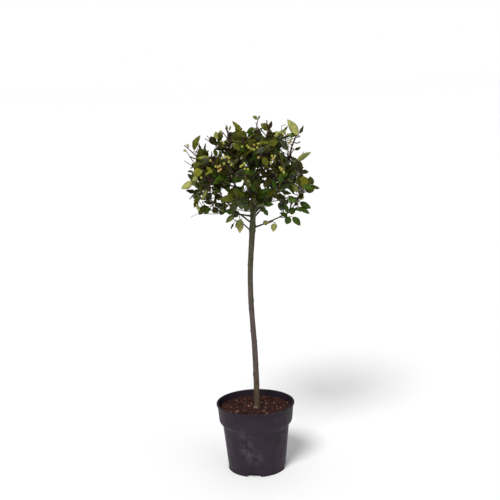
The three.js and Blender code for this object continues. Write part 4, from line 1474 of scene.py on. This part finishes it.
def chip_mesh(middle, sizes, spin, detail):
    """One chip: a split block of six sides with ragged ends and a waist."""
    corners = []
    for end in (-1, 1):
        for angle in np.arange(6) * TURN / 6:
            ragged = 1 + CHIPS["ragged"] * (detail() - 0.5)
            reach = end * (1 + 0.3 * (detail() - 0.5))
            corners.append((reach, math.cos(angle) * ragged, math.sin(angle) * ragged))
    points = np.array(corners) * np.array(sizes) / 2
    waist = (points[:6] + points[6:]) / 2 * vector(1, 1.25, 1.25)
    return middle + np.vstack([points[:6], waist, points[6:]]) @ spin.T


def make_chips(edge_radius):
    """Bark chips and fibres strewn over the compost."""
    looks = [bark_chip(*kind[:3]) for kind in CHIP_KINDS]
    piece = Piece("bark_chips", "compost", looks)
    detail = seeded_random(SEEDS["chips"])
    for i in range(CHIPS["count"]):
        radius = math.sqrt((i + 0.5) / CHIPS["count"]) * (edge_radius - 3.5)
        angle = i * GOLDEN_ANGLE + detail() * 0.2
        x, y = radius * math.cos(angle), radius * math.sin(angle)
        long, wide, thick = chip_sizes(detail)
        height = compost_height(x, y) + thick * 0.3 + 1.2 * detail()
        if math.hypot(x - TRUNK_LINE["foot"], y) < CHIPS["bare"] + wide / 2:
            continue
        drawn_in = min(1, (edge_radius - 1.5 - long / 2) / radius)
        spin = chip_spin(detail)
        draw = detail()
        look = sum(draw > kind[3] for kind in CHIP_KINDS[1:])
        middle = vector(x * drawn_in, y * drawn_in, height)
        piece.add(chip_mesh(middle, (long, wide, thick), spin, detail), ring_faces(6, 3), look)
    piece.build(smooth=False)


# ---------------------------------------------------------------- trunk and boughs


def bark_relief(bumps, fine, seed):
    """Relief of bark: long ridges, fine wrinkles, and knots at given shares and angles."""

    def roughness(angle, height):
        x, y = math.cos(angle), math.sin(angle)
        return fine * sum(
            deep * noise.noise(Vector((x * often, y * often, height / long + seed)))
            for often, long, deep in BARK_GRAIN
        )

    def relief(line, angles):
        heights = np.array([[roughness(angle, point[2]) for angle in angles] for point in line])
        for share, angle, height, size in bumps:
            reach = distance(line, line[int(share * (len(line) - 1))])[:, None]
            swing = np.angle(np.exp(1j * (angles - angle)))
            heights += height * np.exp(-((reach / size) ** 2) - (swing / 0.55) ** 2)
        return heights

    return relief


def make_trunk(masses, bark):
    """The trunk with its knots, and a collar where each bough leaves it."""
    detail = seeded_random(SEEDS["trunk"])
    bumps = []
    for i in range(KNOTS["count"]):
        height = KNOTS["height"] + KNOTS["vary"] * detail()
        share = (i + 0.2 + 0.6 * detail()) / KNOTS["count"]
        bumps.append((share, i * GOLDEN_ANGLE, height, KNOTS["size"]))
    for mass in masses:
        direction = mass.site - trunk_line(trunk_share(mass.fork))
        angle = math.atan2(direction[1], direction[0])
        share = min(0.99, trunk_share(mass.fork + BOUGH_COLLAR["above"]))
        bumps.append((share, angle, BOUGH_COLLAR["height"], BOUGH_COLLAR["size"]))

    def radius_at(share):
        to_top = (1 - share) * (TRUNK["top"] - COMPOST["level"])
        rounded = np.clip(to_top / TRUNK_TOP["rounded"], 0, 1) ** 0.5
        swell = FORK_SWELL["grow"] * np.exp(-(((share - FORK_SWELL["at"]) / FORK_SWELL["reach"]) ** 2))
        return trunk_radius(share) * mix(TRUNK_TOP["narrow"], 1, rounded) + swell

    path = stretch(trunk_line, trunk_share(COMPOST["level"] - 1.5), 1)
    piece = Piece("trunk_bark", "bark", [bark], ["trunk"])
    relief = bark_relief(bumps, BARK_DEPTH["trunk"], seed=3)
    piece.add(*limb(path, radius_at, sides=36, steps=460, relief=relief))
    piece.build()


def make_boughs(masses, bark):
    """Each bough and the stem that carries it on, as one tapering limb with a swollen foot."""
    names = [f"bough_{mass.name}" for mass in masses if mass.name != "low_shoot"]
    piece = Piece("boughs", "bark", [bark], names)
    detail = seeded_random(SEEDS["boughs"])
    for i, mass in enumerate(masses):
        long = length_of(mass.path)

        def radius_at(share):
            wide = np.interp(share, [0, mass.entry, 1], [*mass.bough, STEM_TIP_RADIUS])
            past_foot = np.maximum(0, share * long - BOUGH_FOOT["from"])
            return wide + BOUGH_FOOT["grow"] * np.exp(-past_foot / BOUGH_FOOT["over"])

        knots = BOUGH_KNOTS
        bumps = [
            (knots["from"] + knots["spread"] * detail(), detail() * TURN, knots["height"], knots["size"])
            for _ in range(knots["count"])
        ]
        relief = bark_relief(bumps, BARK_DEPTH["bough"], seed=i * 5)
        piece.add(*limb(mass.path, radius_at, sides=14, steps=int(long / 2), relief=relief))
    piece.build()


# ---------------------------------------------------------------- the whole plant

# What sets how light a leaf is: its spray, how far out and how high it is, and its own draw, less
# a fixed amount.
LIGHTNESS = {"spray": 2.2, "outer": 0.9, "high": 0.5, "own": 0.5, "less": 0.45}

# Draws below these make a leaf fresh (high in the crown), glossy, or green (at the crown's foot
# and at its top), and from these on its under side is of the middle tint or the pale one. The under
# side's draw grows the further out the leaf lies, so under sides deeper in the crown are darker:
# painted shade.
FRESH = {"share": 0.04, "above": 0.7}
GLOSSY_SHARE = 0.15
GREEN_SHARES = (0.75, 0.15)
UNDER_FROM = (0.95, 1.4)
CROWN_FOOT = 720
CROWN_HEIGHT = 240


def choose_tints(leaf, spray, detail):
    """The two tints of a leaf: its spray's, with a few fresh, glossy or green ones among them."""
    outer = float(crown_share(leaf.root))
    high = (leaf.root[2] - CROWN_FOOT) / CROWN_HEIGHT
    level = spray * LIGHTNESS["spray"] + LIGHTNESS["outer"] * outer + LIGHTNESS["high"] * high
    top = int(np.clip(level - LIGHTNESS["less"] + LIGHTNESS["own"] * detail(), 0, 3))
    chance = detail()
    if chance < FRESH["share"] and high > FRESH["above"]:
        top = FIRST["olive"] + 4
    elif chance < GLOSSY_SHARE:
        top = FIRST["gloss"] + int(2 * detail())
    elif chance < mix(*GREEN_SHARES, high):
        top = FIRST["green"] + int(2 * detail())
    # Under sides are paler further out and darker deeper in the crown, as painted shade.
    pale = detail() + 0.5 * outer
    leaf.tints = (top, sum(pale >= start for start in UNDER_FROM))


EDGE_TINTS = {
    "dark": (1, 0),
    "olive": (2, 1),
    "fresh": (4, 1),
    "light": (3, 1),
    "green": (FIRST["green"] + 1, 1),
    "glossy": (FIRST["gloss"] + 1, 0),
    "under": (2, 1),
    "pale": (3, 2),
}


def nearest_node(point, paths):
    """The nearest node on some paths to a point, and how far off it is."""
    nodes = np.concatenate([path(np.linspace(0.3, 1, 12)) for path in paths])
    apart = distance(nodes, point)
    nearest = int(np.argmin(apart))
    return nodes[nearest], float(apart[nearest])


def edge_random(x, z):
    """Random numbers of its own for a leaf or twig at the edge, from where its tip is."""
    return seeded_random(int(x * 977 + z * 40503))


def add_edge_growth(pieces, paths, masses):
    """The twigs and leaves that stand out at the crown's edge, each joined to the nearest shoot."""
    twigs = pieces["twigs"]
    for knee, tip, depth, radii in EDGE_TWIGS:
        bend_at, end = vector(knee[0], depth, knee[1]), vector(tip[0], depth, tip[1])
        node, _ = nearest_node(bend_at, paths)
        path = bend(node, 2 * bend_at - (node + end) / 2, end)
        paths.append(path)
        nodes = int(length_of(path) / 10) + 1
        twigs.add(*twig_mesh(path, radii, 8, nodes, edge_random(*tip)))
    for tint, rows in EDGE_LEAVES.items():
        for foot_x, foot_z, tip_x, tip_z, depth, width, roll in rows:
            detail = edge_random(tip_x, tip_z)
            root, end = vector(foot_x, depth, foot_z), vector(tip_x, depth, tip_z)
            node, apart = nearest_node(root, paths)
            if apart > 1:
                path = bowed(node, root, -UP * apart * 0.06)
                twigs.add(*twig_mesh(path, EDGE_STALK, 6, 2, detail))
            along = unit(end - root)
            face = turned_about(across(vector(*SPRIG_FACE), along), along, math.radians(roll))
            leaf = new_leaf(root, along, face, distance(end, root), half=width / 2, curl=0.4)
            leaf.tints = EDGE_TINTS[tint]
            nearest = min(masses, key=lambda mass: distance(mass.site, root))
            add_leaf(pieces[nearest.tier], twigs, leaf, detail)


def fruit_places():
    """The fruiting spurs: the ones at the front, then others spread round the back."""
    places = [(vector(*middle), count) for middle, count in FRUIT]
    detail = seeded_random(SEEDS["back_fruit"])
    p = CROWN["squareness"]
    for i in range(BACK_FRUIT["count"]):
        angle = mix(BACK_FRUIT["from"], BACK_FRUIT["to"], (i + 0.5) / BACK_FRUIT["count"])
        height = mix(*BACK_FRUIT["height"], (i * 0.618) % 1)
        upwards = crown_share((CROWN["x"], 0, height))
        radius = CROWN["radius"] * (BACK_FRUIT["share"] ** p - upwards**p) ** (1 / p)
        places.append((around(angle, radius, height), 3 + int(5 * detail())))
    return places


def settle_mass(mass, detail):
    """Bows a mass's shoots, sets its leaves on them at their own size, and clears its gaps.

    What crosses a gap in the crown goes: leaves, and then shoots that bear none of their own.
    """
    stem, *shoots = mass.shoots
    for shoot in mass.shoots:
        shoot.detail = own_random(detail)
    for shoot in shoots:
        bow_shoot(shoot)
    for leaf in mass.leaves:
        leaf.detail = own_random(leaf.shoot.detail)
        if leaf.shoot.aim is None:
            leaf.length *= np.interp(leaf.root[2], LEAF_SCALE["heights"], LEAF_SCALE["shares"])
            if leaf.shoot is not stem:
                leaf.root = leaf.shoot.path(leaf.share) - leaf.along * STANCE["sunk"]
        leaf.face = lit_face(leaf.root, leaf.along, leaf.detail)
        leaf.blade = blade_of(leaf)
    own = [leaf for leaf in mass.leaves if leaf.shoot.kind == "full"]
    mass.leaves = [leaf for leaf in own if not through_window(over_blade(leaf.blade))]
    bearing = {id(leaf.shoot) for leaf in mass.leaves}
    kept = [shoot for shoot in shoots if shoot.aim is not None or id(shoot) in bearing]
    mass.shoots = [stem, *kept]
    return [shoot.path for shoot in kept]


def add_fruit(pieces, paths, masses, room, detail):
    """Berries on spurs off the nearest shoots, and on the shoots at the back that bear some."""
    spurs = []
    for middle, count in fruit_places():
        node, apart = nearest_node(middle, paths)
        if apart < SPUR_REACH:
            spurs.append((middle, count, bowed(node, middle, -UP * apart * 0.08)))
    room.spurs = np.array([middle for middle, _, _ in spurs])
    for middle, count, path in spurs:
        pieces["twigs"].add(*twig_mesh(path, SPUR_RADII, 6, 2, detail))
        add_cluster(pieces, path, middle, count, detail)
    for mass in masses:
        for shoot in mass.fruited:
            middle = shoot.path(BERRY["along"])
            if middle[2] > LOWEST_FRUIT and middle[1] > 0:
                add_cluster(pieces, shoot.path, middle, 3 + int(3 * detail()), detail)


def place_leaves(mass, room):
    """Gives their room to the laid-out leaves of a mass, but for those that hide its fruit."""
    mass.leaves = [
        leaf for leaf in mass.leaves if leaf.shoot.aim is not None or not room.shades_fruit(leaf.blade)
    ]
    for leaf in mass.leaves:
        room.add_blade(leaf.blade)


def dress_mass(mass, pieces, samples, room):
    """The leaves of a mass, its shoots, and the side twigs off them with theirs."""
    blades, twigs = pieces[mass.tier], pieces["twigs"]
    sprays = {}
    for leaf in mass.leaves:
        spray = sprays.setdefault(id(leaf.shoot), leaf.detail())
        choose_tints(leaf, spray, leaf.detail)
        add_leaf(blades, twigs, leaf, leaf.detail)
    for shoot in mass.shoots:
        if shoot is not mass.shoots[0]:
            stub = shoot.kind == "stub"
            radii = STUB_RADII if stub else SHOOTS["radius"]
            nodes = int(length_of(shoot.path) / 13)
            twigs.add(*twig_mesh(shoot.path, radii, 8, nodes, shoot.detail))
            if not stub:
                twigs.add(*bud_mesh(shoot.path, *SHOOT_BUD), 1)
        if shoot.kind == "full":
            for twig in grow_side_twigs(shoot, samples):
                dress_side_twig(twig, blades, twigs, samples, room)


def dress_side_twig(twig, blades, twigs, samples, room):
    """A side twig with its bud and leaves. One that bears no leaf is left out."""
    room.add_twig(twig.path)
    leaves = grow_side_leaves(twig, samples, room)
    if not leaves:
        return
    nodes = max(2, int(twig.length / 9))
    twigs.add(*twig_mesh(twig.path, SIDE_TWIG["radius"], 6, nodes, twig.detail))
    twigs.add(*bud_mesh(twig.path, *SIDE_BUD), 1)
    spray = twig.detail()
    for leaf in leaves:
        choose_tints(leaf, spray, twig.detail)
        add_leaf(blades, twigs, leaf, twig.detail)


def foliage_pieces(masses):
    """The joined meshes of the foliage: its twigs, its berries, and the leaves of each tier."""
    barks = [
        twig_bark("young_twig", "1f0c0d", "45242a", 0.6),
        twig_bark("leaf_stalk", "5c4a2c", "7d7a3c", 0.5),
    ]
    skins = [
        berry_skin("berry_green", "7d8419", "a8a02e"),
        berry_skin("berry_blush", "94872c", "a5803f"),
        twig_bark("berry_scar", "1d140c", "2f2415", 0.7),
    ]
    foliage = [f"foliage_{mass.name}" for mass in masses]
    pieces = {"twigs": Piece("twigs", "bark", barks, foliage)}
    pieces["berries"] = Piece("berries", "foliage", skins, foliage)
    for tier in ("lower", "middle", "top"):
        names = [f"foliage_{mass.name}" for mass in masses if mass.tier == tier]
        pieces[tier] = Piece(f"leaves_{tier}", "foliage", LEAF_LOOKS, names)
    return pieces


def make_plant():
    """The trunk, its boughs, and the crown that is grown on them."""
    masses, samples = grow_plant()
    bark = trunk_bark()
    make_trunk(masses, bark)
    make_boughs(masses, bark)
    pieces = foliage_pieces(masses)
    room = Room()
    detail = seeded_random(SEEDS["finer"])
    paths = [path for mass in masses for path in settle_mass(mass, detail)]
    for path in paths:
        room.add_twig(path)
    add_edge_growth(pieces, paths, masses)
    add_fruit(pieces, paths, masses, room, detail)
    for mass in masses:
        place_leaves(mass, room)
    for mass in masses:
        dress_mass(mass, pieces, samples, room)
    for piece in pieces.values():
        piece.build()


# ---------------------------------------------------------------- floor, light and camera

# The white studio: how strongly it lights the plant, and how bright it is where it is seen.
AMBIENT = 0.27
BACKDROP = 1

# The floor's half width and its grey.
FLOOR = {"reach": 60000, "grey": 0.92}

# Soft lamps: heading they shine from, elevation, strength, and how wide each looks in degrees.
SUNS = [
    ("key", -112, 48, 2.75, 22),
    ("fill", -50, 35, 0.5, 60),
    ("top", 90, 75, 0.4, 60),
]


def make_stage():
    """A wide pale floor and soft studio light."""
    corners = np.array([(-1, -1, 0), (1, -1, 0), (1, 1, 0), (-1, 1, 0)]) * FLOOR["reach"]
    floor = new_solid("floor", corners, [[0, 1, 2, 3]])
    look = Look("floor_paper", 0.9)
    look.shader["Base Color"].default_value = (*colour(FLOOR["grey"]), 1)
    floor.data.materials.append(look.material)
    for name, direction, elevation, strength, softness in SUNS:
        light = bpy.data.lights.new(name, "SUN")
        light.energy = strength
        light.angle = math.radians(softness)
        lamp = new_object(name, light)
        lamp.rotation_euler = (math.radians(90 - elevation), 0, math.radians(direction + 90))


def make_world():
    """White all round the studio, and dimmer where it lights the plant."""
    world = bpy.data.worlds.new("studio")
    world.use_nodes = True
    tree = world.node_tree
    background = tree.nodes["Background"].inputs
    background["Color"].default_value = (1, 1, 1, 1)
    seen = new_node(tree, "LightPath", {}, "Is Camera Ray")
    strength = new_node(tree, "MapRange", {"Value": seen, "To Min": AMBIENT, "To Max": BACKDROP})
    tree.links.new(strength, background["Strength"])
    bpy.context.scene.world = world
    bpy.context.scene.view_settings.view_transform = "Standard"


def make_camera():
    """The camera, a little above the crown, looking slightly down and tipped a touch sideways."""
    data = bpy.data.cameras.new("camera")
    data.lens = CAMERA["lens"]
    data.sensor_width = CAMERA["film"]
    turned = Matrix.Rotation(math.radians(90 + CAMERA["pitch"]), 4, "X")
    tipped = Matrix.Rotation(math.radians(CAMERA["roll"]), 4, "Z")
    camera = new_object("camera", data)
    camera.matrix_world = Matrix.Translation(Vector(CAMERA["place"]) * MM) @ turned @ tipped
    bpy.context.scene.camera = camera


make_camera()
make_world()
make_stage()
make_pot()
make_chips(make_compost())
make_plant()
